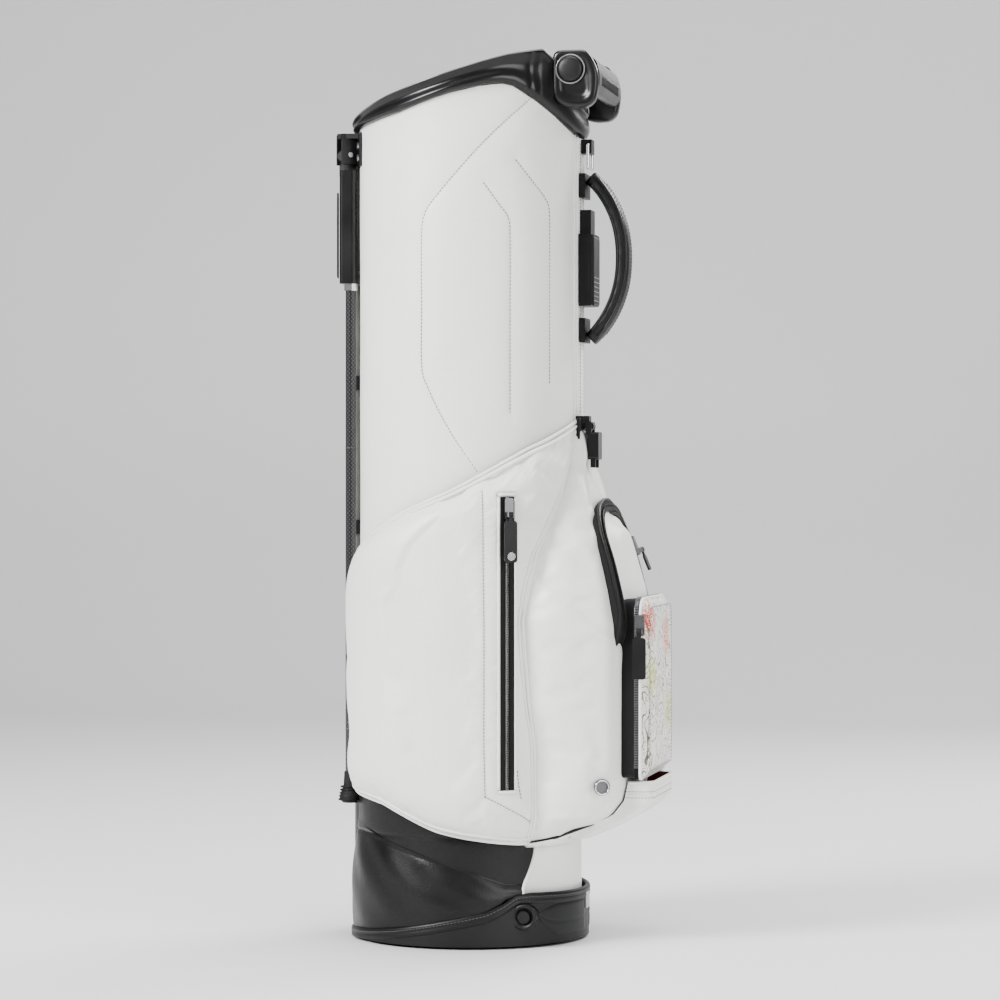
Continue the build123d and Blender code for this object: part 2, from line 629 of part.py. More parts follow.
def make_carry_handle():
    """Arched grip, padded and covered with leather."""
    foot_x, middle_z = SPINE_FACE + 5, (GRIP_LOW_Z + GRIP_TOP_Z) / 2
    top, low = (foot_x, GRIP_TOP_Z), (foot_x, GRIP_LOW_Z)
    outer = ThreePointArc(top, (GRIP_OUT_X, middle_z), low)
    inner_top, inner_low = (foot_x, GRIP_TOP_Z - 22), (foot_x, GRIP_LOW_Z + 22)
    inner = ThreePointArc(inner_low, (GRIP_OUT_X - GRIP_T, middle_z), inner_top)
    face = make_face([outer, Line(low, inner_low), inner, Line(inner_top, top)])
    grip = Plane.XZ * Pos(0, 0, -GRIP_W / 2) * extrude(face, GRIP_W)
    return fillet(grip.edges().filter_by(GeomType.CIRCLE), 4.0)


def make_handle_anchors():
    """Leather patches that join the ends of the grip to the spine."""
    patches = []
    for z_low, z_high in ((GRIP_TOP_Z - 24, GRIP_TOP_Z), (GRIP_LOW_Z, GRIP_LOW_Z + 24)):
        patch = block(SPINE_FACE - 4, SPINE_FACE + 5 - SEAT, -15, 15, z_low, z_high)
        patches.append(patch - post(SPINE_FACE, 0, TALL))
    return Compound(patches)


def make_spine_pad():
    """Soft block under the grip, with a thinner strap above it."""
    low, middle, high = GRIP_LOW_Z + 36, GRIP_TOP_Z - 60, GRIP_TOP_Z - 36
    pad = block(SPINE_FACE - 4, SPINE_FACE + 14, -16, 16, low, middle)
    pad = fillet(pad.edges().filter_by(Axis.Y).group_by(Axis.X)[-1], 5)
    strap = block(SPINE_FACE - 4, SPINE_FACE + 10, -11, 11, middle, high)
    return (pad + strap) - post(SPINE_FACE, 0, TALL)


# ---------------------------------------------------------------- lift handle at the collar
LIFT_IN_Y = 54.0          # inner and outer face of the handle's cheeks
LIFT_OUT_Y = 68.0
LIFT_CAP_R = 12.6
LIFT_CAP_X = COLLAR_OUT - 5
LIFT_CAP_Z = BAG_H - 19
# Outlines about the collar's front edge and its peak, as (x, z).
LIFT_CHEEK = [(-24, -48), (-24, 0), (8, 0), (14, -6), (21, -21), (21, -36), (18, -48), (11, -55),
              (-7, -57)]
LIFT_GRIP = [(10.5, -43), (10.5, -12), (13, -6), (18, -10), (22, -22), (22, -34), (18, -43)]


def make_lift_handle():
    """Moulded handle: two cheeks on the collar joined by a cross grip."""
    cheek = shifted(LIFT_CHEEK, COLLAR_OUT, BAG_H)
    handle = side_prism(shifted(LIFT_GRIP, COLLAR_OUT, BAG_H), -LIFT_OUT_Y, LIFT_OUT_Y)
    for side in (-1, 1):
        low, high = sorted((side * LIFT_IN_Y, side * LIFT_OUT_Y))
        handle = handle + side_prism(cheek, low, high)
    return handle - post(COLLAR_OUT + SEAT, 0, TALL)


def make_lift_caps():
    """Domed caps on the outside of the cheeks."""
    caps = []
    for side in (-1, 1):
        low, high = sorted((side * (LIFT_OUT_Y + SEAT), side * (LIFT_OUT_Y + 5)))
        caps.append(pin_along_y(LIFT_CAP_R, low, high, LIFT_CAP_X, LIFT_CAP_Z))
    return Compound(caps)


# ---------------------------------------------------------------- strap buckle
def make_clip_tab():
    """Webbing tab that carries the buckle."""
    top = CLIP_TOP_Z + 14
    tab = block(BODY_R - 6, CLIP_X + 2, CLIP_Y - 6, CLIP_Y + 6, CLIP_TOP_Z + 2, top)
    loop = pin_along_y(4.5, CLIP_Y - 6, CLIP_Y + 6, CLIP_X + 2, CLIP_TOP_Z + 4)
    tab = (tab + loop) - post(BODY_R + SEAT, 0, TALL)
    return tab - pin_along_y(1.5 + RUN, CLIP_Y - 8, CLIP_Y + 8, CLIP_X + 2, CLIP_TOP_Z + 4)


def make_strap_clip():
    """Buckle half with a cross pin in the tab's loop and two prongs."""
    low, high = CLIP_Y - CLIP_W / 2, CLIP_Y + CLIP_W / 2
    x_low, x_high = CLIP_X + 1.0, CLIP_X + 12
    body = block(x_low, x_high, low, high, CLIP_LOW_Z + 8, CLIP_TOP_Z - 2)
    body = fillet(body.edges().filter_by(Axis.X), 2.5)
    for side in (-1, 1):
        y = CLIP_Y + side * (CLIP_W / 2 - 1.4)
        ear = block(CLIP_X - 1, CLIP_X + 5, y - 1.4, y + 1.4, CLIP_TOP_Z - 5, CLIP_TOP_Z + 8)
        prong = block(x_low + 3, x_low + 8, y - 1.4, y + 1.4, CLIP_LOW_Z, CLIP_LOW_Z + 9)
        body = body + ear + prong
    return body + pin_along_y(1.5, low + 1, high - 1, CLIP_X + 2, CLIP_TOP_Z + 4)


# ---------------------------------------------------------------- stand
def at_hinge(shape):
    """Turn a piece built about the hinge to the near leg's own swing direction."""
    return Pos(HINGE_X, -LEG_Y, HINGE_Z) * Rot(0, 0, LEG_SPLAY) * shape


def make_leg_bracket():
    """Plate on the back of the tube, with a fork for each leg."""
    plate = tube(BODY_R + SEAT + BRACKET_T, BODY_R + SEAT, BRACKET_LOW_Z, BRACKET_TOP_Z)
    plate = plate & block(-WIDE, -60, -BRACKET_HALF_W, BRACKET_HALF_W, BRACKET_LOW_Z, BRACKET_TOP_Z)
    roof = block(HINGE_X - 8, -100, -38, 38, BRACKET_TOP_Z - 5, BRACKET_TOP_Z)
    bracket = plate + roof
    inner, outer = HINGE_LUG_W / 2 + CLEAR, HINGE_LUG_W / 2 + CLEAR + 3
    for side in (-1, 1):
        low, high = sorted((side * inner, side * outer))
        lug = block(-9, 16, low, high, -9, BRACKET_TOP_Z - HINGE_Z)
        hole = pin_along_y(HINGE_PIN_R + RUN, low - 1, high + 1, 0, 0)
        near = at_hinge(lug - hole)
        bracket = bracket + near + mirrored(near)
    swing = at_hinge(pin_along_y(HINGE_LUG_R + CLEAR, -inner, inner, 0, 0))
    return bracket - swing - mirrored(swing) - post(BODY_R + SEAT, 0, TALL)


def make_leg_pins():
    """Hinge pins of the legs."""
    half = HINGE_LUG_W / 2 + CLEAR + 4
    pin = at_hinge(pin_along_y(HINGE_PIN_R, -half, half, 0, 0))
    return Compound([pin, mirrored(pin)])


def make_bracket_rivets():
    """Rivets that fasten the bracket to the tube."""
    face = BODY_R + SEAT * 2 + BRACKET_T
    rivets = []
    for side in (-1, 1):
        for z in (BRACKET_LOW_Z + 8, BRACKET_TOP_Z - 13):
            rivet = Pos(-face - 0.7, 0, z) * Rot(0, 90, 0) * Cylinder(3.5, 1.4)
            rivets.append(Rot(0, 0, side * 22) * rivet)
    return Compound(rivets)


def make_leg_housing():
    """Moulded housing at the top of the near leg."""
    half = HOUSING_W / 2
    body = block(LEG_X - 10, LEG_X + 6.3, -LEG_Y - half, -LEG_Y + half, HOUSING_LOW_Z, HOUSING_TOP_Z)
    body = fillet(body.edges().filter_by(Axis.Z), 3.5)
    neck = block(-7, 7, -HINGE_LUG_W / 2, HINGE_LUG_W / 2, HOUSING_TOP_Z - HINGE_Z - 5, 0)
    lug = pin_along_y(HINGE_LUG_R, -HINGE_LUG_W / 2, HINGE_LUG_W / 2, 0, 0)
    body = body + at_hinge(neck + lug)
    body = body - at_hinge(pin_along_y(HINGE_PIN_R + RUN, -HOUSING_W, HOUSING_W, 0, 0))
    return body - post(LEG_R + RUN, HOUSING_LOW_Z - 1, HOUSING_LOW_Z + 60, LEG_X, -LEG_Y)


def make_leg_tube():
    """Carbon tube of the near leg."""
    low = LEG_LOW_Z + 14
    return tube(LEG_R, LEG_R - 1.4, low, HOUSING_LOW_Z + 60 - SEAT, LEG_X, -LEG_Y)


def make_leg_ferrule():
    """Ring where the tube enters the housing."""
    low = HOUSING_LOW_Z - 7
    return tube(LEG_R + 1.6, LEG_R + RUN, low, HOUSING_LOW_Z - SEAT, LEG_X, -LEG_Y)


def make_leg_foot():
    """Flared rubber foot."""
    r_top, r_low = LEG_R + 1.2, 11.0
    profile = [(0, FOOT_TOP_Z), (r_top, FOOT_TOP_Z), (r_top + 0.8, FOOT_TOP_Z - 14),
               (r_low, LEG_LOW_Z + 7), (r_low, LEG_LOW_Z + 3), (r_low - 3, LEG_LOW_Z), (0, LEG_LOW_Z)]
    foot = revolve(Plane.XZ * make_face(Polyline(*profile, close=True)), Axis.Z)
    foot = (Pos(LEG_X, -LEG_Y, 0) * foot) - post(LEG_R + RUN, LEG_LOW_Z + 14, TALL, LEG_X, -LEG_Y)
    return foot - post(BODY_R + SEAT + BAND_T + 3 * CLEAR, 0, TALL)


def make_push_rod():
    """Rod that the tipping base pushes up, with a yoke at its top."""
    rod = post(ROD_R, ROD_LOW_Z, ROD_TOP_Z + 2, ROD_X)
    yoke = block(ROD_X - 3, ROD_X + 3, -YOKE_HALF_W, YOKE_HALF_W, ROD_TOP_Z, ROD_TOP_Z + YOKE_H)
    return rod + fillet(yoke.edges().filter_by(Axis.X), 3)


def make_rod_boot():
    """Ribbed rubber boot on the lower end of the rod."""
    ribs = tube(4.2, ROD_R + RUN, FOOT_TOP_Z - 12, FOOT_TOP_Z + 4, ROD_X)
    for step in range(3):
        low = FOOT_TOP_Z - 10 + 5 * step
        ribs = ribs + tube(4.9, ROD_R + RUN, low, low + 2.4, ROD_X)
    return ribs & block(ROD_X - 6, ROD_X + 3.6, -6, 6, 0, TALL)


def make_rod_guides():
    """Two clips on the back of the tube that guide the rod."""
    clips = []
    for z in (400, 400 + 0.58 * (HOUSING_LOW_Z - 400)):
        eye = post(5.6, z, z + 14, ROD_X)
        web = block(ROD_X, -BODY_R + 4, -4, 4, z, z + 14)
        clip = (eye + web) - post(ROD_R + RUN, z - 1, z + 15, ROD_X)
        clips.append(clip - post(BODY_R + SEAT, 0, TALL))
    return Compound(clips)


# ---------------------------------------------------------------- write every sub-part
os.makedirs("parts", exist_ok=True)


SINGLE = {
    "bag_shell": make_bag_shell, "lower_band": make_lower_band, "top_collar": make_top_collar,
    "divider_top": make_divider_top, "divider_panels": make_divider_panels,
    "stay_rods": make_stay_rods, "lower_ring": make_lower_ring,
    "frame_arms": make_frame_arms, "pivot_bolts": make_pivot_bolts,
    "base_cup": make_base_cup, "base_sole": make_base_sole, "base_badge": make_base_badge,
    "skirt": make_skirt, "front_pocket": make_front_pocket, "valuables_zip": make_valuables_zip,
    "valuables_panel": make_valuables_panel, "ball_zip": make_ball_zip,
    "ball_pocket": make_ball_pocket, "holder_cup": make_holder_cup,
    "pocket_badges": make_pocket_badges, "spine_panel": make_spine_panel,
    "ring_tab": make_ring_tab, "spine_ring": make_spine_ring,
    "carry_handle": make_carry_handle, "handle_anchors": make_handle_anchors,
    "spine_pad": make_spine_pad, "lift_handle": make_lift_handle, "lift_caps": make_lift_caps,
    "clip_tab": make_clip_tab, "strap_clip": make_strap_clip, "leg_bracket": make_leg_bracket,
    "leg_pins": make_leg_pins, "bracket_rivets": make_bracket_rivets,
    "push_rod": make_push_rod, "rod_boot": make_rod_boot, "rod_guides": make_rod_guides}
PAIRED = {
    "side_pocket": make_side_pocket, "side_zip": make_side_zip, "leg_housing": make_leg_housing,
    "leg_tube": make_leg_tube, "leg_ferrule": make_leg_ferrule, "leg_foot": make_leg_foot,
    "side_slider": lambda: at_side_zip(make_slider()),
    "side_puller": lambda: at_side_zip(make_puller()),
    "side_stud": lambda: at_side_zip(make_stud())}
PLACED = {
    "ball_slider": lambda: at_ball_zip(make_slider()),
    "ball_puller": lambda: at_ball_zip(make_puller()),
    "valuables_slider": lambda: at_valuables_zip(make_slider()),
    "valuables_puller": lambda: at_valuables_zip(make_puller(SHORT_TAB_L))}

for node, make in (SINGLE | PLACED).items():
    save(node, make())
for node, make in PAIRED.items():
    piece = make()
    save(node + "_near", piece)
    save(node + "_far", mirrored(piece))
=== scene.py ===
import math

import bmesh
import bpy
import numpy as np
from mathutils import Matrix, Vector


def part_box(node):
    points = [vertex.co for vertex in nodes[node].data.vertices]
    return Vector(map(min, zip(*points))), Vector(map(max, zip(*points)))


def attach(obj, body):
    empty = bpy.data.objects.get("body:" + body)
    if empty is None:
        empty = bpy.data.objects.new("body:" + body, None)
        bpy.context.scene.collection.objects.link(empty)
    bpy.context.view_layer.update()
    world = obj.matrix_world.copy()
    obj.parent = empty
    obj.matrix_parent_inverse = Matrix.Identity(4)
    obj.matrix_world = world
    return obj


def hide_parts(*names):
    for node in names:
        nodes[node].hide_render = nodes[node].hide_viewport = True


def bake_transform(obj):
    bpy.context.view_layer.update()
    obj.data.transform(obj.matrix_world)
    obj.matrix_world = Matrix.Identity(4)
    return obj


# A golf carry bag with a folding stand: padded white leather, black mouldings and trim.
# Lengths are written in millimetres and multiplied by MM, because the scene is in metres.
# Places round the tube are given as an angle from the near side (-Y) towards the front (+X).

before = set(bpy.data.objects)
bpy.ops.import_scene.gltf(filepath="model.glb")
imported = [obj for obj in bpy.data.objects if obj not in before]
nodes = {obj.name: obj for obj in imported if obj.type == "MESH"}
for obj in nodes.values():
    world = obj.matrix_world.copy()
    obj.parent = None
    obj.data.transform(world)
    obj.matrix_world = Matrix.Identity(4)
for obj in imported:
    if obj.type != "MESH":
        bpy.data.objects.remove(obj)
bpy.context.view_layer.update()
MM = 0.001

# ------------------------------------------------------------------ sizes taken from the frame


def span(node):
    """Lowest and highest corner of a CAD piece, in millimetres."""
    low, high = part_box(node)
    return Vector(low) / MM, Vector(high) / MM


shell_low, shell_high = span("bag_shell")
base_low, base_high = span("base_cup")
front_high = span("front_pocket")[1]
ball_low, ball_high = span("ball_pocket")
cup_low, cup_high = span("holder_cup")

TUBE_R = (shell_high.x - shell_low.x) / 2
BASE_R = (base_high.x - base_low.x) / 2
WALL = 3.0                         # thickness of the tube's shell
COLLAR_R = 119.0                   # widest radius of the collar
POCKET_R = 115.0                   # radius of the side pocket's round belly
POCKET_C = Vector((-2.0, -30.0))   # centre of that round belly
FRONT_X = front_high.x             # foremost place of the front pocket
STITCH_STEP = 3.4                  # distance from stitch to stitch
TOOTH_STEP = 1.6                   # distance from zip tooth to zip tooth
LIGHT, NO_LIGHT = (1, 1, 1), (0, 0, 0)


# ------------------------------------------------------------------ materials
def new_material(name, color, roughness, **sockets):
    """Principled material with its plain values set; returns the material and its shader."""
    material = bpy.data.materials.new(name)
    material.use_nodes = True
    shader = material.node_tree.nodes["Principled BSDF"]
    shader.inputs["Base Color"].default_value = (*color, 1)
    shader.inputs["Roughness"].default_value = roughness
    for socket, value in sockets.items():
        shader.inputs[socket.replace("_", " ")].default_value = value
    return material, shader


def node(material, kind, **settings):
    """Add one node and set its fields and input sockets."""
    made = material.node_tree.nodes.new(kind)
    for key, value in settings.items():
        if hasattr(made, key):
            setattr(made, key, value)
        else:
            made.inputs[key.replace("_", " ")].default_value = value
    return made


def link(material, source, target):
    """Join an output socket to an input socket."""
    material.node_tree.links.new(source, target)


def object_coordinates(material, scale=(1, 1, 1), shift=(0, 0, 0)):
    """Object coordinates, stretched and moved."""
    place = node(material, "ShaderNodeTexCoord")
    mapping = node(material, "ShaderNodeMapping")
    mapping.inputs["Scale"].default_value = scale
    mapping.inputs["Location"].default_value = shift
    link(material, place.outputs["Object"], mapping.inputs["Vector"])
    return mapping.outputs["Vector"]


def ramp(material, source, stops):
    """Colour ramp with the given (position, colour) stops."""
    made = node(material, "ShaderNodeValToRGB")
    elements = made.color_ramp.elements
    elements[0].position, elements[0].color = stops[0][0], (*stops[0][1], 1)
    elements[1].position, elements[1].color = stops[-1][0], (*stops[-1][1], 1)
    for position, color in stops[1:-1]:
        elements.new(position).color = (*color, 1)
    link(material, source, made.inputs["Fac"])
    return made.outputs["Color"]


def blend_colors(material, factor, first, second, kind="MIX"):
    """Colour mix; each of the three is a socket or a plain value."""
    mix = node(material, "ShaderNodeMix", data_type="RGBA", blend_type=kind)
    for index, value in ((0, factor), (6, first), (7, second)):
        if isinstance(value, bpy.types.NodeSocket):
            link(material, value, mix.inputs[index])
        elif index == 0:
            mix.inputs[0].default_value = value
        else:
            mix.inputs[index].default_value = (*value, 1)
    return mix.outputs[2]


def add_bump(material, shader, height, strength, distance):
    """Bump on top of any bump that the shader already has."""
    bump = node(material, "ShaderNodeBump", Strength=strength, Distance=distance)
    link(material, height, bump.inputs["Height"])
    if shader.inputs["Normal"].is_linked:
        link(material, shader.inputs["Normal"].links[0].from_socket, bump.inputs["Normal"])
    link(material, bump.outputs["Normal"], shader.inputs["Normal"])


def math_node(material, operation, *values):
    """Math node on sockets or plain numbers; returns its result."""
    made = node(material, "ShaderNodeMath", operation=operation)
    for target, value in zip(made.inputs, values):
        if isinstance(value, bpy.types.NodeSocket):
            link(material, value, target)
        else:
            target.default_value = value
    return made.outputs[0]


def texture(material, kind, place, **settings):
    """Noise or Voronoi texture read at a place."""
    made = node(material, "ShaderNodeTex" + kind, **settings)
    link(material, place, made.inputs["Vector"])
    return made


def axes(material, shift=(0, 0, 0)):
    """X, Y and Z of the object coordinates."""
    split = node(material, "ShaderNodeSeparateXYZ")
    link(material, object_coordinates(material, shift=shift), split.inputs["Vector"])
    return tuple(split.outputs)


def vary_roughness(material, shader, source, low, high, start=0.0, end=1.0):
    """Roughness that runs from low to high as the source runs from start to end."""
    spread = node(material, "ShaderNodeMapRange")
    for socket, value in (("From Min", start), ("From Max", end), ("To Min", low), ("To Max", high)):
        spread.inputs[socket].default_value = value
    link(material, source, spread.inputs["Value"])
    link(material, spread.outputs["Result"], shader.inputs["Roughness"])


def leather(name, color, shade, roughness, grain=900.0, strength=0.25, wear=0.0):
    """Grained leather: pebbles, fine pores, soft creases and slow colour drift."""
    material, shader = new_material(name, color, roughness, Specular_IOR_Level=0.45,
                                    Coat_Weight=0.06, Coat_Roughness=0.35)
    place = object_coordinates(material)
    drift = texture(material, "Noise", place, Scale=9.0, Detail=4.0, Roughness=0.6)
    tone = ramp(material, drift.outputs["Fac"], [(0.3, shade), (0.62, color)])
    pebble = texture(material, "Voronoi", place, feature="SMOOTH_F1", Scale=grain, Smoothness=0.6)
    pore_tone = ramp(material, pebble.outputs["Distance"], [(0.05, LIGHT), (0.75, (0.82, 0.82, 0.82))])
    link(material, blend_colors(material, 0.35, tone, pore_tone, "MULTIPLY"), shader.inputs["Base Color"])
    if wear:
        rub = texture(material, "Noise", place, Scale=26.0, Detail=6.0)
        vary_roughness(material, shader, rub.outputs["Fac"], roughness - wear, roughness + wear, 0.3, 0.7)
    crease = texture(material, "Noise", place, Scale=38.0, Detail=5.0, Roughness=0.65, Distortion=1.2)
    add_bump(material, shader, crease.outputs["Fac"], 0.16, 0.0012)
    add_bump(material, shader, pebble.outputs["Distance"], strength, 0.0003)
    return material


def moulded(name, color, roughness, grain=1400.0, strength=0.12, coat=0.0):
    """Moulded plastic or rubber with a fine spark-eroded texture and faint flow marks."""
    material, shader = new_material(name, color, roughness, Specular_IOR_Level=0.5,
                                    Coat_Weight=coat, Coat_Roughness=0.12)
    place = object_coordinates(material)
    fine = texture(material, "Noise", place, Scale=grain, Detail=2.0)
    slow = texture(material, "Noise", place, Scale=22.0, Detail=4.0)
    lighter = tuple(c * 1.4 + 0.001 for c in color)
    tone = ramp(material, slow.outputs["Fac"], [(0.35, color), (0.75, lighter)])
    link(material, tone, shader.inputs["Base Color"])
    vary_roughness(material, shader, slow.outputs["Fac"], max(0.04, roughness - 0.08), roughness + 0.1)
    add_bump(material, shader, fine.outputs["Fac"], strength, 0.0002)
    return material


def metal(name, color, roughness, stretch=(1, 1, 60)):
    """Polished or brushed metal with fine directional scratches."""
    material, shader = new_material(name, color, roughness, Metallic=1.0)
    place = object_coordinates(material, scale=stretch)
    scratch = texture(material, "Noise", place, Scale=400.0, Detail=3.0).outputs["Fac"]
    vary_roughness(material, shader, scratch, max(0.03, roughness - 0.06), roughness + 0.12)
    tone = ramp(material, scratch, [(0.3, tuple(c * 0.8 for c in color)), (0.7, color)])
    link(material, tone, shader.inputs["Base Color"])
    add_bump(material, shader, scratch, 0.05, 0.0001)
    return material


def woven(name, color, dark, thread=0.0007, roughness=0.85, sheen=0.3):
    """Plain weave of two thread directions."""
    material, shader = new_material(name, color, roughness, Sheen_Weight=sheen, Sheen_Roughness=0.5)
    x, y, z = axes(material)
    across = math_node(material, "ADD", x, y)
    waves = [math_node(material, "SINE", math_node(material, "MULTIPLY", way, math.pi / thread))
             for way in (across, z)]
    cross = math_node(material, "MULTIPLY", *waves)
    link(material, ramp(material, cross, [(0.0, dark), (0.6, color)]), shader.inputs["Base Color"])
    add_bump(material, shader, cross, 0.5, 0.0003)
    return material


def carbon_weave(name, centre_y):
    """Clear-coated twill weave round a leg tube."""
    material, shader = new_material(name, (0.02, 0.02, 0.022), 0.32, Coat_Weight=0.8, Coat_Roughness=0.08)
    x, y, z = axes(material, shift=(0.117, -centre_y, 0))
    around = math_node(material, "MULTIPLY", math_node(material, "ARCTAN2", y, x), 8 / math.pi)
    along = math_node(material, "MULTIPLY", z, 480.0)
    waves = [math_node(material, "PINGPONG", math_node(material, way, around, along), 1.0)
             for way in ("ADD", "SUBTRACT")]
    twill = math_node(material, "MULTIPLY", *waves)
    tone = ramp(material, twill, [(0.12, (0.008, 0.008, 0.009)), (0.6, (0.07, 0.07, 0.075))])
    link(material, tone, shader.inputs["Base Color"])
    add_bump(material, shader, twill, 0.35, 0.0002)
    return material


def patterned_leather(name):
    """White leather with a fine contour pattern in grey, ochre, vermilion and green."""
    material = leather(name, (0.90, 0.90, 0.87), (0.85, 0.85, 0.82), 0.42)
    shader = material.node_tree.nodes["Principled BSDF"]
    ground = shader.inputs["Base Color"].links[0].from_socket
    grey, ochre = (0.13, 0.125, 0.10), (0.30, 0.20, 0.05)
    layers = ((31.0, 2.0, 0.5, grey, 0.10), (46.0, 7.0, 1.6, ochre, 0.075))
    for scale, shift, distortion, ink, width in layers:
        moved = object_coordinates(material, scale=(1, 1, 0.7), shift=(shift, 0, shift))
        field = texture(material, "Noise", moved, Scale=scale, Detail=1.5, Distortion=distortion)
        bands = math_node(material, "FRACT", math_node(material, "MULTIPLY", field.outputs["Fac"], 13.0))
        edge = ramp(material, bands, [(0.0, LIGHT), (width, LIGHT), (width * 2.2, NO_LIGHT)])
        ground = blend_colors(material, edge, ground, ink)
    vermilion, green = (0.75, 0.07, 0.02), (0.5, 0.55, 0.03)
    plain = object_coordinates(material)
    for centre, color in (((0.190, -0.055, 0.318), vermilion), ((0.190, -0.05, 0.262), green),
                          ((0.190, 0.03, 0.30), vermilion), ((0.190, 0.045, 0.225), green)):
        spot = node(material, "ShaderNodeVectorMath", operation="DISTANCE")
        spot.inputs[1].default_value = centre
        link(material, plain, spot.inputs[0])
        fleck = texture(material, "Noise", plain, Scale=170.0, Detail=1.0, Distortion=2.5)
        near_spot = ramp(material, spot.outputs["Value"], [(0.012, LIGHT), (0.026, NO_LIGHT)])
        broken = ramp(material, fleck.outputs["Fac"], [(0.5, NO_LIGHT), (0.53, LIGHT)])
        splash = blend_colors(material, 1.0, near_spot, broken, "MULTIPLY")
        ground = blend_colors(material, splash, ground, color)
    link(material, ground, shader.inputs["Base Color"])
    return material


WHITE_LEATHER = leather("white_leather", (0.90, 0.905, 0.88), (0.86, 0.865, 0.835), 0.42, wear=0.06)
BLACK_LEATHER = leather("black_leather", (0.007, 0.007, 0.0075), (0.004, 0.004, 0.0045), 0.42,
                        grain=620.0, strength=0.5, wear=0.08)
SKIRT_LEATHER = leather("skirt_leather", (0.006, 0.006, 0.0065), (0.0035, 0.0035, 0.004), 0.38,
                        grain=760.0, strength=0.35, wear=0.1)
BLACK_PLASTIC = moulded("black_plastic", (0.006, 0.006, 0.0065), 0.42, strength=0.3)
GLOSS_BLACK = moulded("gloss_black", (0.005, 0.005, 0.0055), 0.3, strength=0.08, coat=0.2)
BLACK_RUBBER = moulded("black_rubber", (0.009, 0.009, 0.009), 0.66, grain=700.0, strength=0.5)
CHROME = metal("chrome", (0.86, 0.86, 0.87), 0.08)
GUNMETAL = metal("gunmetal", (0.22, 0.22, 0.23), 0.26)
STEEL = metal("steel", (0.56, 0.56, 0.57), 0.3)
ZIP_TAPE = woven("zip_tape", (0.009, 0.009, 0.0095), (0.003, 0.003, 0.003), sheen=0.08)
LINING = woven("lining", (0.035, 0.035, 0.038), (0.014, 0.014, 0.015), thread=0.0011)
WEBBING = woven("webbing", (0.03, 0.03, 0.031), (0.008, 0.008, 0.008), thread=0.0013)
DARK_THREAD = new_material("dark_thread", (0.10, 0.10, 0.095), 0.8, Sheen_Weight=0.4)[0]
PALE_THREAD = new_material("pale_thread", (0.55, 0.55, 0.52), 0.8, Sheen_Weight=0.4)[0]
TEETH = moulded("zip_teeth", (0.02, 0.02, 0.021), 0.3, strength=0.1)
METAL_TEETH = metal("metal_teeth", (0.30, 0.30, 0.31), 0.35)
RED_LINING = woven("red_lining", (0.16, 0.012, 0.014), (0.06, 0.004, 0.005), thread=0.0011)
ROD_FIBRE = moulded("rod_fibre", (0.10, 0.10, 0.09), 0.3)
CARBON_NEAR = carbon_weave("carbon_near", -0.027)
CARBON_FAR = carbon_weave("carbon_far", 0.027)
PATTERNED = patterned_leather("patterned_leather")
# Pale grey coated bead colour, a painted highlight: it stands in for the bright glints on the collar's rim
# and round the lift caps.
RIM_PAINTED_HIGHLIGHT = moulded("rim_painted_highlight", (0.16, 0.16, 0.165), 0.16, coat=0.8)


# ------------------------------------------------------------------ mesh helpers
def finish_piece(piece, body, slot, *replaced):
    """Fasten a finished piece to its body, hiding the CAD parts it replaces."""
    if replaced:
        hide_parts(*replaced)
    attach(piece, body)
    return piece


def mesh_piece(name, points, faces, material, smooth=True):
    """Mesh object from points in millimetres."""
    mesh = bpy.data.meshes.new(name)
    mesh.from_pydata([Vector(p) * MM for p in points], [], faces)
    mesh.materials.append(material)
    mesh.validate()
    mesh.polygons.foreach_set("use_smooth", [smooth] * len(mesh.polygons))
    piece = bpy.data.objects.new(name, mesh)
    bpy.context.scene.collection.objects.link(piece)
    return piece


def grid_piece(name, rows, material, closed=False):
    """Surface through rows of points; closed joins the last column to the first."""
    columns = len(rows[0])
    points = [p for row in rows for p in row]
    faces = []
    for v in range(len(rows) - 1):
        for u in range(columns if closed else columns - 1):
            after = (u + 1) % columns
            a, b = v * columns, (v + 1) * columns
            faces.append((a + u, a + after, b + after, b + u))
    return mesh_piece(name, points, faces, material)


def apply_modifiers(piece):
    """Turn the evaluated piece into a plain mesh."""
    depsgraph = bpy.context.evaluated_depsgraph_get()
    mesh = bpy.data.meshes.new_from_object(piece.evaluated_get(depsgraph))
    materials = list(piece.data.materials)
    piece.modifiers.clear()
    piece.data = mesh
    if not mesh.materials:
        for material in materials:
            mesh.materials.append(material)
    return piece


def curve_through(points, count, closed=False):
    """Smooth curve through points, with count even steps."""
    control = [Vector(p) for p in points]
    dense = []
    total = len(control)
    spans = total if closed else total - 1
    for i in range(spans):
        if closed:
            p0, p1, p2, p3 = (control[(i + k) % total] for k in (-1, 0, 1, 2))
        else:
            p0, p1 = control[max(i - 1, 0)], control[i]
            p2, p3 = control[i + 1], control[min(i + 2, total - 1)]
        for step in range(16):
            t = step / 16
            dense.append(0.5 * (2 * p1 + (p2 - p0) * t + (2 * p0 - 5 * p1 + 4 * p2 - p3) * t * t
                                + (3 * p1 - p0 - 3 * p2 + p3) * t ** 3))
    dense.append(control[0].copy() if closed else control[-1].copy())
    return evenly(dense, count)


def evenly(points, count):
    """count + 1 points at even steps along a polyline."""
    lengths = [0.0]
    for a, b in zip(points, points[1:]):
        lengths.append(lengths[-1] + (b - a).length)
    result, i = [], 0
    for step in range(count + 1):
        goal = lengths[-1] * step / count
        while i < len(points) - 2 and lengths[i + 1] < goal:
            i += 1
        part = lengths[i + 1] - lengths[i]
        t = (goal - lengths[i]) / part if part > 1e-9 else 0.0
        result.append(points[i].lerp(points[i + 1], min(max(t, 0.0), 1.0)))
    return result


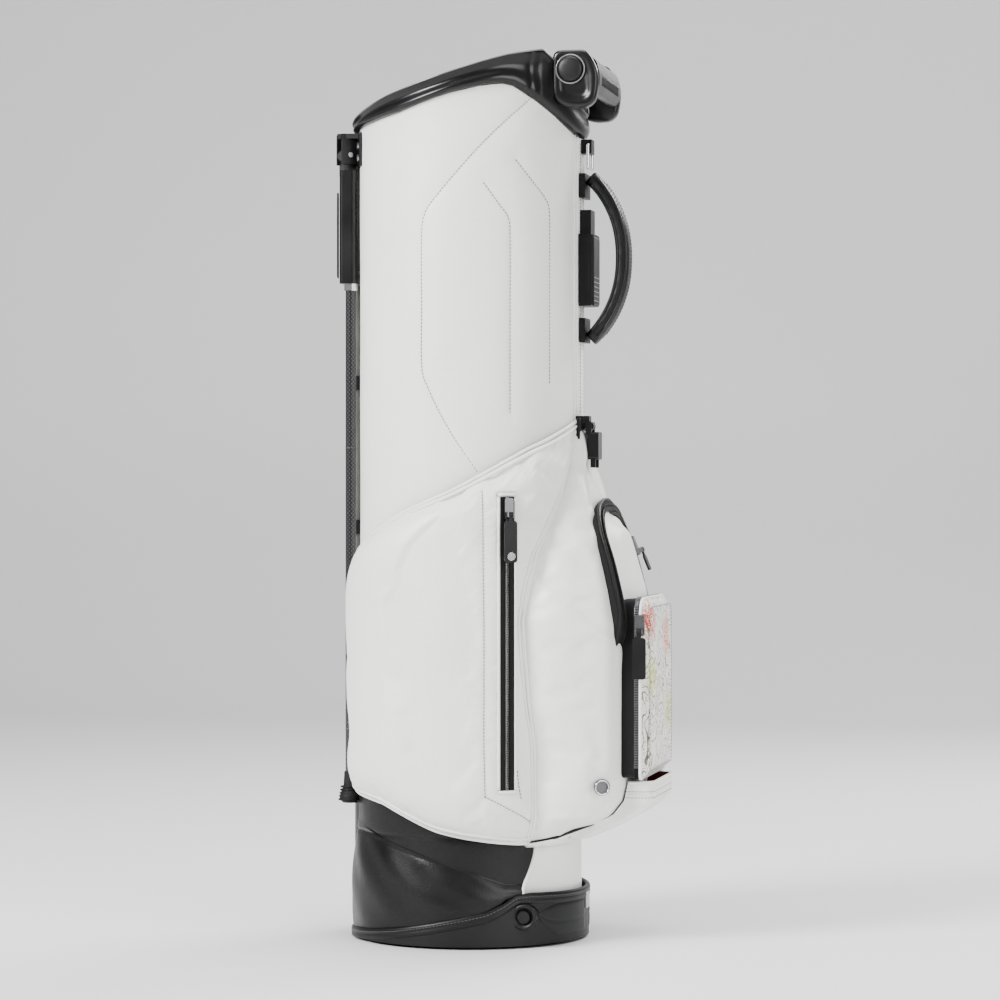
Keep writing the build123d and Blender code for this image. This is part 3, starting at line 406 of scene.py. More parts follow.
def rounded(points, radii, closed=False, steps=6):
    """Polyline with its corners turned into arcs of the given radii."""
    corner = [Vector(p) for p in points]
    total = len(corner)
    result = []
    for i, here in enumerate(corner):
        if not closed and i in (0, total - 1):
            result.append(here)
            continue
        before, after = corner[i - 1], corner[(i + 1) % total]
        radius = radii[i % len(radii)] if isinstance(radii, (list, tuple)) else radii
        way_in, way_out = (before - here).normalized(), (after - here).normalized()
        reach = min(radius, (before - here).length * 0.49, (after - here).length * 0.49)
        start, end = here + way_in * reach, here + way_out * reach
        for step in range(steps + 1):
            t = step / steps
            result.append(start.lerp(here, t).lerp(here.lerp(end, t), t))
    if closed:
        result.append(result[0].copy())
    return result


def value_at(table, x):
    """Straight-line interpolation in a short list of (x, value) pairs."""
    if x <= table[0][0]:
        return table[0][1]
    for (x_a, v_a), (x_b, v_b) in zip(table, table[1:]):
        if x <= x_b:
            t = (x - x_a) / (x_b - x_a)
            return v_a + (v_b - v_a) * t
    return table[-1][1]


# ------------------------------------------------------------------ sweeps, repeats and round places
def outward(angle):
    """Level direction at an angle round the tube."""
    a = math.radians(angle)
    return Vector((math.sin(a), -math.cos(a), 0))


def place_round(angle, radius, z):
    """Place at an angle, radius and height round the tube."""
    return outward(angle) * radius + Vector((0, 0, z))


def place_in_front(y, out, z):
    """Place on the tube's front, this far out from its wall."""
    return math.sqrt((TUBE_R + out) ** 2 - y * y), y, z


def turns(count):
    """Even angles round a full circle."""
    return [2 * math.pi * i / count for i in range(count)]


def level_ring(x, y, z, radius, squash=1.0, count=32):
    """Level circle of points."""
    return [(x + radius * squash * math.cos(t), y + radius * math.sin(t), z) for t in turns(count)]


def upright_ring(x, y, z, radius, count=48):
    """Circle of points that faces sideways."""
    return [(x + radius * math.cos(t), y, z + radius * math.sin(t)) for t in turns(count)]


def mirrored(half):
    """Whole line from its near half, which ends in the middle."""
    return half + [Vector((p.x, -p.y, p.z)) for p in reversed(half[:-1])]


def sweep(name, path, section, material, normals=None, closed=False):
    """Solid with a closed (across, out) section along a path; normals give the outward side."""
    path = [Vector(p) for p in path]
    if closed and (path[0] - path[-1]).length < 1e-6:
        path, normals = path[:-1], (normals[: len(path) - 1] if normals else None)
    total, size = len(path), len(section)
    points = []
    for i, here in enumerate(path):
        ahead = path[(i + 1) % total] if closed else path[min(i + 1, total - 1)]
        behind = path[i - 1] if closed or i else path[0]
        tangent = (ahead - behind).normalized()
        out = Vector(normals[i]) if normals else Vector((here.x, here.y, 0)).normalized()
        out = (out - tangent * out.dot(tangent)).normalized()
        across = tangent.cross(out)
        points += [here + across * a + out * b for a, b in section]
    faces = []
    for i in range(total if closed else total - 1):
        after = (i + 1) % total
        for j in range(size):
            k = (j + 1) % size
            faces.append((i * size + j, i * size + k, after * size + k, after * size + j))
    if not closed:
        faces += [tuple(range(size)), tuple((total - 1) * size + j for j in reversed(range(size)))]
    piece = mesh_piece(name, points, faces, material)
    return close_normals(piece)


def close_normals(piece, merge=False, fill=False):
    """Turn every face of a closed piece outwards, once its doubles are merged or its ends filled."""
    work = bmesh.new()
    work.from_mesh(piece.data)
    if merge:
        bmesh.ops.remove_doubles(work, verts=work.verts, dist=1e-6)
    if fill:
        bmesh.ops.holes_fill(work, edges=[e for e in work.edges if e.is_boundary])
    bmesh.ops.recalc_face_normals(work, faces=work.faces)
    work.to_mesh(piece.data)
    work.free()
    return piece


def turn_from(piece, centre=(0, 0)):
    """Turn an open sheet's faces away from an upright line."""
    total = 0.0
    for face in piece.data.polygons:
        here = face.center / MM
        total += face.normal.dot(Vector((here.x - centre[0], here.y - centre[1], 0))) * face.area
    if total < 0:
        piece.data.flip_normals()
    return piece


def turn_towards(piece, direction):
    """Turn an open sheet's faces to one direction."""
    if sum(face.normal.dot(Vector(direction)) * face.area for face in piece.data.polygons) < 0:
        piece.data.flip_normals()
    return piece


def bead(radius, sides=10):
    """Round section."""
    return [(radius * math.cos(t), radius * math.sin(t)) for t in turns(sides)]


def strap(width, thick, edge=0.6):
    """Flat section with soft edges, its back on the path."""
    w = width / 2
    return [(-w, 0), (w, 0), (w, thick - edge), (w - edge, thick), (0, thick + edge * 0.3),
            (-w + edge, thick), (-w, thick - edge)]


def joined(name, parts):
    """Join pieces into the first, keeping their materials."""
    for other in bpy.context.selected_objects:
        other.select_set(False)
    for part in parts:
        part.select_set(True)
    bpy.context.view_layer.objects.active = parts[0]
    bpy.ops.object.join()
    parts[0].name = name
    return parts[0]


def hoops(name, places, section, material, squash=1.0):
    """Level rings joined into one piece; each place is (x, y, z, radius)."""
    return joined(name, [sweep("hoop", level_ring(*place, squash), section, material, closed=True)
                         for place in places])


def repeat_tree():
    """Geometry Nodes: one shape repeated at even steps along curves, stood on their normals."""
    tree = bpy.data.node_groups.new("repeat_along_curve", "GeometryNodeTree")
    face = tree.interface
    face.new_socket("Geometry", in_out="INPUT", socket_type="NodeSocketGeometry")
    face.new_socket("Step", in_out="INPUT", socket_type="NodeSocketFloat")
    face.new_socket("Shape", in_out="INPUT", socket_type="NodeSocketObject")
    face.new_socket("Material", in_out="INPUT", socket_type="NodeSocketMaterial")
    face.new_socket("Geometry", in_out="OUTPUT", socket_type="NodeSocketGeometry")
    way_in = tree.nodes.new("NodeGroupInput")
    way_out = tree.nodes.new("NodeGroupOutput")
    points = tree.nodes.new("GeometryNodeCurveToPoints")
    points.mode = "LENGTH"
    shape = tree.nodes.new("GeometryNodeObjectInfo")
    place = tree.nodes.new("GeometryNodeInstanceOnPoints")
    solid = tree.nodes.new("GeometryNodeRealizeInstances")
    paint = tree.nodes.new("GeometryNodeSetMaterial")
    for source, target in (
        (way_in.outputs["Geometry"], points.inputs["Curve"]),
        (way_in.outputs["Step"], points.inputs["Length"]),
        (way_in.outputs["Shape"], shape.inputs["Object"]),
        (points.outputs["Points"], place.inputs["Points"]),
        (shape.outputs["Geometry"], place.inputs["Instance"]),
        (points.outputs["Rotation"], place.inputs["Rotation"]),
        (place.outputs["Instances"], solid.inputs["Geometry"]),
        (solid.outputs["Geometry"], paint.inputs["Geometry"]),
        (way_in.outputs["Material"], paint.inputs["Material"]),
        (paint.outputs["Geometry"], way_out.inputs["Geometry"]),
    ):
        tree.links.new(source, target)
    return tree


REPEAT = repeat_tree()


def block_shape(name, across, out, along):
    """Small rounded block used as the repeated shape, long in its own Z."""
    work = bmesh.new()
    bmesh.ops.create_cube(work, size=1.0)
    bmesh.ops.bevel(work, geom=list(work.edges), offset=0.2, segments=1, affect="EDGES")
    for corner in work.verts:
        corner.co = Vector((corner.co.x * out, corner.co.y * across, corner.co.z * along)) * MM
    mesh = bpy.data.meshes.new(name)
    work.to_mesh(mesh)
    work.free()
    return bpy.data.objects.new(name, mesh)


STITCH = block_shape("stitch_shape", 0.62, 0.55, 2.4)
FINE_TOOTH = block_shape("fine_tooth_shape", 3.4, 1.1, 0.8)
BALL_TOOTH = block_shape("ball_tooth", 1.3, 4.4, 0.9)


def repeated(name, paths, shape, step, material):
    """One mesh of a shape repeated along every path, realized and made plain."""
    curve = bpy.data.curves.new(name, "CURVE")
    curve.dimensions = "3D"
    for path in paths:
        spline = curve.splines.new("POLY")
        spline.points.add(len(path) - 1)
        for point, place in zip(spline.points, path):
            point.co = (*(Vector(place) * MM), 1)
    holder = bpy.data.objects.new(name, curve)
    bpy.context.scene.collection.objects.link(holder)
    nodes_modifier = holder.modifiers.new("repeat", "NODES")
    nodes_modifier.node_group = REPEAT
    inputs = [s for s in REPEAT.interface.items_tree if s.in_out == "INPUT"]
    for socket, value in zip(inputs[1:], (step * MM, shape, material)):
        nodes_modifier[socket.identifier] = value
    bpy.context.view_layer.update()
    mesh = bpy.data.meshes.new_from_object(holder.evaluated_get(bpy.context.evaluated_depsgraph_get()))
    bpy.data.objects.remove(holder)
    piece = bpy.data.objects.new(name, mesh)
    if not mesh.materials:
        mesh.materials.append(material)
    bpy.context.scene.collection.objects.link(piece)
    return piece


def distances(x, y, line):
    """Distance of each point of two arrays from a polyline, and the place along it."""
    best, along, run = np.full(x.shape, 1e9), np.zeros(x.shape), 0.0
    for (ax, ay), (bx, by) in zip(line, line[1:]):
        dx, dy = bx - ax, by - ay
        length = math.hypot(dx, dy) or 1e-9
        t = np.clip(((x - ax) * dx + (y - ay) * dy) / length ** 2, 0, 1)
        d = np.hypot(x - ax - t * dx, y - ay - t * dy)
        closer = d < best
        best = np.where(closer, d, best)
        along = np.where(closer, run + t * length, along)
        run += length
    return best, along


MOST_MOVE = 3.2   # how far the cloth pass may move a point


def settle(rows, pinned, grow=0.014, pressure=0.6, frames=26):
    """Cloth pass: how far each point of a coarse cover moves, in millimetres, when the leather is
    cut slightly larger than its place, held at the pinned points and pressed out from inside."""
    up, across = len(rows), len(rows[0])
    trial = turn_from(grid_piece("cloth_trial", rows, WHITE_LEATHER))
    holds = trial.vertex_groups.new(name="held")
    holds.add([int(i) for i in np.flatnonzero(np.asarray(pinned).ravel())], 1.0, "REPLACE")
    cloth = trial.modifiers.new("cloth", "CLOTH")
    settings = cloth.settings
    settings.vertex_group_mass = "held"
    settings.quality = 8
    settings.mass = 0.25
    settings.tension_stiffness = settings.compression_stiffness = 28
    settings.shear_stiffness = 12
    settings.bending_stiffness = 2.2
    settings.shrink_min = -grow
    settings.use_pressure = True
    settings.uniform_pressure_force = pressure
    settings.effector_weights.gravity = 0
    cloth.collision_settings.use_collision = False
    scene = bpy.context.scene
    before = np.array([v.co[:] for v in trial.data.vertices])
    for step in range(1, frames + 1):
        scene.frame_set(step)
    result = trial.evaluated_get(bpy.context.evaluated_depsgraph_get()).to_mesh()
    after = np.array([v.co[:] for v in result.vertices])
    bpy.data.objects.remove(trial)
    scene.frame_set(1)
    moved = (after - before) / MM
    length = np.linalg.norm(moved, axis=1, keepdims=True)
    moved *= np.minimum(1.0, MOST_MOVE / np.maximum(length, 1e-6))
    return moved.reshape(up, across, 3)


def carried(moved, v, u):
    """Value of a coarse grid of moves at a place given by shares v (up) and u (across)."""
    up, across = moved.shape[0] - 1, moved.shape[1] - 1
    i, j = min(int(v * up), up - 1), min(int(u * across), across - 1)
    a, b = v * up - i, u * across - j
    low = moved[i, j] * (1 - b) + moved[i, j + 1] * b
    high = moved[i + 1, j] * (1 - b) + moved[i + 1, j + 1] * b
    return low * (1 - a) + high * a


def flat_line(points, steps=10):
    """Smooth polyline in the unrolled plane."""
    smooth = curve_through([(x, y, 0) for x, y in points], steps * (len(points) - 1))
    return [(p.x, p.y) for p in smooth]


# ------------------------------------------------------------------ tube cover: quilted white leather
TUBE_FOOT = [(-120, 118), (60, 60), (120, 57)]
COLLAR_UNDER = [(-120, 801), (-87, 805), (-53, 811), (5, 828), (37, 835), (54, 837), (66, 835),
                (86, 823), (103, 809), (120, 791)]
COLLAR_RIM = [(-120, 808), (-89, 819), (-63, 828), (-17, 841), (22, 853), (59, 865), (90, 872),
              (103, 858), (112, 833), (120, 815)]


def unrolled(x):
    """Distance round the tube from its side to a place at this X."""
    return TUBE_R * math.asin(max(-1.0, min(1.0, x / TUBE_R)))


SEAMS = [flat_line([(unrolled(x), z) for x, z in line]) for line in (
    [(77.6, 825), (40, 785), (-8, 731), (-22, 712), (-25.5, 690), (-25.5, 620), (-25.5, 565), (-20, 545),
     (2.7, 502), (29.3, 462)],
    [(36.2, 740), (50, 720), (58, 708), (59.6, 690), (59.6, 600), (59.6, 519)],
    [(65.1, 763), (80, 742), (90, 726), (92.5, 710), (92.5, 630), (92.5, 549)],
)]


def seam_dip(x, y, lines, depth=1.0, puff=0.6, reach=9.0):
    """Height of a padded cover: a groove on each seam, puckers beside it, fuller between."""
    height = np.zeros(x.shape)
    for index, line in enumerate(lines):
        d, along = distances(x, y, line)
        groove = np.exp(-((d / 1.5) ** 2))
        ripple = np.sin(along * 2 * math.pi / 6.8 + 1.7 * np.sin(along * 0.11 + index))
        beside = np.exp(-((d / reach) ** 2)) * (1 - 0.5 * groove)
        height -= depth * groove + (puff + 0.16 * ripple) * beside
        height += 0.35 * puff * np.exp(-(((d - 2 * reach) / reach) ** 2))
    return height


STITCH_R = TUBE_R * 0.9945   # the stitches lie in the seams' grooves


def tube_cover():
    """Quilted leather sleeve of the tube, with its lining, end walls and seam stitches."""
    columns, count = 300, 250
    turn = np.linspace(0, 2 * math.pi, columns, endpoint=False)
    x, y = np.sin(turn), -np.cos(turn)
    foot = np.interp(x * TUBE_R, (-120, 60, 68, 120), (118, 60, 48, 45)) + 0.3
    top = np.interp(x * TUBE_R, *zip(*COLLAR_UNDER)) - 0.4
    share = np.linspace(0, 1, count)[:, None]
    z = foot * (1 - share) + top * share
    side = np.tile(TUBE_R * np.arcsin(np.clip(x, -1, 1)), (count, 1))
    height = seam_dip(side, z, SEAMS)
    slow = np.sin(side / 31 + z / 47) * np.sin(z / 83 - side / 53)
    height += 0.35 * slow
    height += 0.8 * np.exp(-((top - z) / 5.0) ** 2)
    radius = TUBE_R + 0.2 + height
    rows = [[(radius[i, j] * x[j], radius[i, j] * y[j], z[i, j]) for j in range(columns)]
            for i in range(count)]
    cover = turn_from(grid_piece("tube_cover", rows, WHITE_LEATHER, closed=True))
    finish_piece(cover, "bag", "white_leather", "bag_shell")
    inner = TUBE_R - WALL
    rows = [[(inner * x[j], inner * y[j], level[j]) for j in range(columns)]
            for level in (foot, (foot + top) / 2, top)]
    lining = turn_from(grid_piece("tube_lining", rows, LINING, closed=True))
    lining.data.flip_normals()
    ends = []
    for edge in (foot, top):
        rows = [[(r * x[j], r * y[j], edge[j]) for j in range(columns)] for r in (inner, TUBE_R)]
        ends.append(grid_piece("tube_edge", rows, LINING, closed=True))
    ends[0].data.flip_normals()
    finish_piece(joined("tube_lining", [lining] + ends), "bag", "white_leather", "bag_shell")
    stitches = []
    for line in SEAMS:
        for sign in (-1, 1):
            path = []
            for s, height in line:
                a = s / TUBE_R
                path.append(Vector((STITCH_R * math.sin(a), sign * STITCH_R * math.cos(a), height)))
            stitches.append(evenly(path, 60))
    thread = repeated("tube_stitches", stitches, STITCH, 3.5, DARK_THREAD)
    finish_piece(thread, "bag", "white_leather")


# ------------------------------------------------------------------ side pockets
POCKET_TOP = [(-68, 342), (-60, 378), (-50.3, 390), (-25.7, 416), (2.6, 441), (32.9, 475), (49.5, 490),
              (77.8, 511), (85, 510)]
POCKET_FOOT = [(-68, 165), (-62, 150), (-29.8, 140), (-2.6, 116), (21.2, 106), (40.8, 102)]
POCKET_SEAM = [(102, 40.8), (193, 40.8), (238, 37.5), (318, 34.4), (383, 41.4), (440, 58.8), (497, 77),
               (508, 85)]
ARC = math.radians(125)   # millimetres round the pocket for each degree


def smooth_share(distance, reach):
    """0 at an edge, 1 beyond reach, rounded like a cushion."""
    t = np.clip(distance / reach, 0, 1)
    return np.sqrt(np.clip(1 - (1 - t) ** 2, 0, 1))


def pocket_radius(angle, z):
    """Radius of the side pocket's cover at an angle and height (arrays)."""
    a = np.radians(angle)
    dot = np.sin(a) * POCKET_C.x - np.cos(a) * POCKET_C.y
    full = dot + np.sqrt(np.maximum(dot ** 2 - POCKET_C.length_squared + POCKET_R ** 2, 1))
    full = np.maximum(full, TUBE_R + 1.5)
    from_top = np.interp(angle, *zip(*POCKET_TOP)) - z
    from_foot = z - np.interp(angle, *zip(*POCKET_FOOT))
    from_left = (angle + 69) * ARC
    from_seam = (np.interp(z, *zip(*POCKET_SEAM)) - angle) * ARC
    share = smooth_share(from_top + 2, 44) * smooth_share(from_foot + 4, 42) * smooth_share(from_left, 32)
    radius = TUBE_R + 1.2 + (full - TUBE_R - 1.2) * share
    radius -= 6.5 * np.exp(-((from_seam / 7.5) ** 2)) * np.clip((radius - TUBE_R) / 8, 0, 1)
    s = angle * ARC
    fold = np.abs(from_top - 34 - (angle - 18) * 0.25)
    fold_reach = np.clip((angle - 5) / 15, 0, 1) * np.clip((48 - angle) / 12, 0, 1)
    radius -= 0.7 * np.exp(-((fold / 5.0) ** 2)) * fold_reach
    sag = np.sin(s / 17 + z / 61) * np.sin(z / 29 - s / 37) + 0.5 * np.sin(z / 13 + s / 23)
    return radius + 0.55 * sag * share


def pocket_point(angle, z, lift=0.0):
    """Point on the near pocket's cover, lifted along its own normal."""
    def place(a, h):
        """Point of the cover itself."""
        return place_round(a, float(pocket_radius(np.array([a]), np.array([h]))[0]), h)

    here = place(angle, z)
    round_way = place(angle + 0.4, z) - place(angle - 0.4, z)
    up_way = place(angle, z + 0.8) - place(angle, z - 0.8)
    normal = round_way.cross(up_way).normalized()
    if normal.dot(outward(angle)) < 0:
        normal.negate()
    return here + normal * lift, normal


def pocket_line(points, count, lift):
    """Path and normals along (angle, z) points on the pocket cover."""
    line = flat_line(points, max(2, count // max(1, len(points) - 1)))
    pairs = [pocket_point(a, z, lift) for a, z in line]
    return [p for p, normal in pairs], [normal for p, normal in pairs]


def flipped(points, side):
    """Points of the near side, carried to the far side where asked."""
    return [Vector((p[0], p[1] * -side, p[2])) for p in points]


ZIP_ANGLE = math.radians(34.5)   # the side zip's place round the pocket's own centre
ZIP_TURN = 26.8                  # and, in degrees, round the tube's
ZIP_LOW, ZIP_HIGH = 156, 437


def zip_place(z, out, across=0.0):
    """Place by the side zip's middle line: straight up the round pocket."""
    a, radius = ZIP_ANGLE + across / POCKET_R, POCKET_R + out
    return Vector((POCKET_C.x + radius * math.sin(a), POCKET_C.y - radius * math.cos(a), z))


POCKET_PIPING = (   # each line, the way its second row lies from it, and its count of points
    (POCKET_TOP, (0, -1), 72), ([(-68, 165), (-68.6, 230), (-68.6, 300), (-68, 342)], (1, 0), 40),
    (POCKET_FOOT, (0, 1), 48), ([(a, z) for z, a in POCKET_SEAM], (-1, 0), 80),
)
POCKET_STITCHES = (
    [(17, 442), (17.2, 380), (17.5, 300), (17.5, 200), (18, 150)],
    [(31.5, 173), (32, 160), (33, 148)],
    [(18, 150), (25, 141), (32, 132), (39, 123)],
)


def pocket_grid(across, up):
    """Angles and heights of the side pocket's cover, between its four edges."""
    u, v = np.linspace(0, 1, across)[None, :], np.linspace(0, 1, up)[:, None]
    left_a = -68 + 8 * np.clip((v - 0.83) / 0.17, 0, 1)
    left_z = 165 + (378 - 165) * v
    seam = np.array(flat_line([(a, z) for z, a in POCKET_SEAM], 24))
    right_a = np.interp(v, np.linspace(0, 1, len(seam)), seam[:, 0])
    right_z = np.interp(v, np.linspace(0, 1, len(seam)), seam[:, 1])
    foot = np.array(flat_line(POCKET_FOOT, 30))
    top = np.array(flat_line(POCKET_TOP[1:], 30))

    def along(line, column):
        """Angles (0) or heights (1) of an edge line at the grid's columns."""
        return np.interp(u, np.linspace(0, 1, len(line)), line[:, column])

    grids = []
    for column, left, right in ((0, left_a, right_a), (1, left_z, right_z)):
        low, high = along(foot, column), along(top, column)
        corner = ((1 - u) * (1 - v) * low[0, 0] + u * (1 - v) * low[0, -1]
                  + (1 - u) * v * high[0, 0] + u * v * high[0, -1])
        grids.append((1 - v) * low + v * high + (1 - u) * left + u * right - corner)
    return grids


def pocket_stitch_lines():
    """The pocket's stitch lines, in millimetres round the pocket and up."""
    return [[(a * ARC, h) for a, h in flat_line(line, 6)] for line in POCKET_STITCHES]


def side_pocket(side, tag):
    """Bulged pocket on one side: cover, piping and stitches."""
    across, up = 64, 84
    angle, z = pocket_grid(across, up)
    radius = pocket_radius(angle, z)
    held = np.zeros(angle.shape, bool)
    held[:2], held[-2:], held[:, :2], held[:, -2:] = True, True, True, True
    held |= (np.abs(angle - ZIP_TURN) * ARC < 11) & (z > ZIP_LOW - 8) & (z < ZIP_HIGH + 8)
    for line in pocket_stitch_lines():
        held |= distances(angle * ARC, z, line)[0] < 4.5

    def cover_place(i, j):
        """Point of the cover at a row and column of its grid."""
        a = math.radians(angle[i, j])
        return Vector((radius[i, j] * math.sin(a), side * radius[i, j] * math.cos(a), z[i, j]))

    moved = settle([[cover_place(i, j) for j in range(across)] for i in range(up)], held)
    across, up = 150, 170
    angle, z = pocket_grid(across, up)
    radius = pocket_radius(angle, z)
    radius += seam_dip(angle * ARC, z, pocket_stitch_lines(), 0.8, 0.3, 6.0)
    near_zip = np.abs(angle - ZIP_TURN) * ARC
    in_zip = (z > ZIP_LOW - 4) & (z < ZIP_HIGH + 4)
    radius = np.where(in_zip & (near_zip < 8), radius - 1.6, radius)
    rows = [[cover_place(i, j) + Vector(carried(moved, i / (up - 1), j / (across - 1)))
             for j in range(across)] for i in range(up)]
    cover = turn_from(grid_piece("side_pocket_cover_" + tag, rows, WHITE_LEATHER))
    finish_piece(cover, "bag", "white_leather", "side_pocket_" + tag)
    trims = []
    for line, (round_way, up_way), count in POCKET_PIPING:
        for gap, thick in ((0.0, 1.9), (4.2, 1.5)):
            inset = [(a + round_way * gap / ARC, height + up_way * gap) for a, height in line]
            path, normals = (flipped(points, side) for points in pocket_line(inset, count, 0.7))
            trims.append(sweep("piping", path, bead(thick), WHITE_LEATHER, normals))
    finish_piece(joined("side_pocket_piping_" + tag, trims), "bag", "white_leather", "side_pocket_" + tag)
    threads = [flipped(pocket_line(line, 60, -0.25)[0], side) for line in POCKET_STITCHES]
    thread = repeated("side_pocket_stitches_" + tag, threads, STITCH, STITCH_STEP, DARK_THREAD)
    finish_piece(thread, "bag", "white_leather")


def side_zip(side, tag):
    """Upright zip: two tapes, welts, teeth, end stops."""
    heights = [ZIP_LOW + (ZIP_HIGH - ZIP_LOW) * i / 56 for i in range(57)]
    parts = []
    for offset in (-4.4, 4.4):
        path = flipped([zip_place(z, 0.0, offset) for z in heights], side)
        normals = flipped([outward(math.degrees(ZIP_ANGLE))] * len(path), side)
        parts.append(sweep("tape", path, strap(5.6, 1.1), ZIP_TAPE, normals))
    finish_piece(joined("side_zip_tapes_" + tag, parts), "bag", "zip_tape", "side_zip_" + tag)
    welts = []
    for offset in (-8.6, 8.6):
        path = flipped([zip_place(z, 0.1, offset) for z in heights], side)
        welts.append(sweep("welt", path, bead(1.6), WHITE_LEATHER))
    for z in (ZIP_LOW - 2, ZIP_HIGH + 2):
        path = flipped([zip_place(z, 0.4, o) for o in (-9, -6, -3, 0, 3, 6, 9)], side)
        welts.append(sweep("welt", path, bead(1.7), WHITE_LEATHER))
    finish_piece(joined("side_zip_welts_" + tag, welts), "bag", "white_leather")
    chain = flipped([zip_place(z, 0.45) for z in heights], side)
    teeth = repeated("side_zip_teeth_" + tag, [chain], FINE_TOOTH, TOOTH_STEP, TEETH)
    teeth.data.polygons.foreach_set("use_smooth", [False] * len(teeth.data.polygons))
    finish_piece(teeth, "bag", "zip_tape")


# ------------------------------------------------------------------ camera, floor, light
CAMERA_TURN = math.radians(12)   # the camera looks this far round from straight across


def studio():
    """Camera, pale floor that curves up behind, even sky and four soft lights."""
    camera_data = bpy.data.cameras.new("camera")
    camera = bpy.data.objects.new("camera", camera_data)
    bpy.context.scene.collection.objects.link(camera)
    camera_data.lens, camera_data.sensor_width = 115.9, 36
    camera.location = (0.6979, -3.1436, 0.434)
    look = Vector((-math.sin(CAMERA_TURN), math.cos(CAMERA_TURN), 0))
    camera.rotation_euler = look.to_track_quat("-Z", "Y").to_euler()
    bpy.context.scene.camera = camera

    rows = []
    for i in range(25):
        t = i / 24
        bend = max(0.0, t - 0.45) / 0.55
        depth = -5000 + 10000 * min(t / 0.45, 1) * 0.8 + 1400 * math.sin(bend * math.pi / 2)
        height = 1400 * (1 - math.cos(bend * math.pi / 2)) + 2600 * max(0.0, bend - 0.6)
        rows.append([(x, depth, height) for x in (-6000, 0, 6000)])
    floor = grid_piece("floor", rows, new_material("floor", (0.83, 0.83, 0.83), 0.6)[0])

    bpy.context.scene.view_settings.look = "AgX - Medium High Contrast"
    world = bpy.data.worlds.new("world")
    bpy.context.scene.world = world
    world.use_nodes = True
    back = world.node_tree.nodes["Background"]
    back.inputs["Color"].default_value = (1, 1, 1, 1)
    back.inputs["Strength"].default_value = 0.34
    for name, place, size, power in (
        ("key", (-2.2, -2.5, 2.3), 1.4, 165), ("fill", (2.6, -2.2, 1.4), 2.0, 48),
        ("rim", (1.4, 2.0, 2.2), 1.4, 60), ("top", (0.0, -0.2, 3.0), 1.6, 40),
    ):
        light_data = bpy.data.lights.new(name, "AREA")
        light_data.size, light_data.energy = size, power
        light = bpy.data.objects.new(name, light_data)
        light.location = place
        light.rotation_euler = (Vector((0, 0, 0.42)) - Vector(place)).to_track_quat("-Z", "Y").to_euler()
        bpy.context.scene.collection.objects.link(light)


# ------------------------------------------------------------------ front pocket
FRONT_REACH = [(98, -67), (101, -65), (112, -49), (121, -30), (128, -16), (142, -5), (164, 0), (305, 0),
               (346, -9), (398, -24), (427, -40), (465, -52), (500, -59), (512, -66)]
FRONT_WIDTH = [(98, 84), (300, 84), (330, 82), (365, 78), (398, 70), (425, 52), (465, 32), (500, 22),
               (512, 17)]
FRONT_LOW, FRONT_HIGH = 100, 510
FOLD_BACK, FOLD_FRONT = (84, 367), (165, 300)   # ends (x, z) of the slanting fold on each flank


def crowned(y):
    """How far the pocket's front falls back beside its middle."""
    return 12 * (y / 75) ** 2


def front_half(z, count=46):
    """Half section of the front pocket, from the seam to the middle, on the near side."""
    angle = value_at([(h, a) for h, a in POCKET_SEAM], z)
    r = float(pocket_radius(np.array([angle - 0.2]), np.array([min(z, 507.0)]))[0])
    seam = outward(angle) * r
    nose, wide = FRONT_X + value_at(FRONT_REACH, z), value_at(FRONT_WIDTH, z)
    wide = min(wide, abs(seam.y) * 0.96 + 2)
    nose = max(nose, seam.x + 4)

    def front(share):
        """Point of the flat front, from its middle (0) to its near corner (1)."""
        return Vector((nose - crowned(wide * share), -wide * share, 0))

    corner = front(1.0)
    chord = corner - seam
    out = Vector((-chord.y, chord.x, 0)).normalized() * -1
    if out.y > 0:
        out.negate()
    middle = seam.lerp(corner, 0.5) + out * chord.length * 0.13
    first = seam.lerp(corner, 0.12) + out * chord.length * 0.09
    last = seam.lerp(corner, 0.86) + out * chord.length * 0.075
    tight = corner.lerp(Vector((0, 0, 0)), 0.012)
    line = curve_through([seam, first, middle, last, tight, front(0.86), front(0.5), front(0.0)], count)
    return [Vector((p.x, p.y, z)) for p in line]


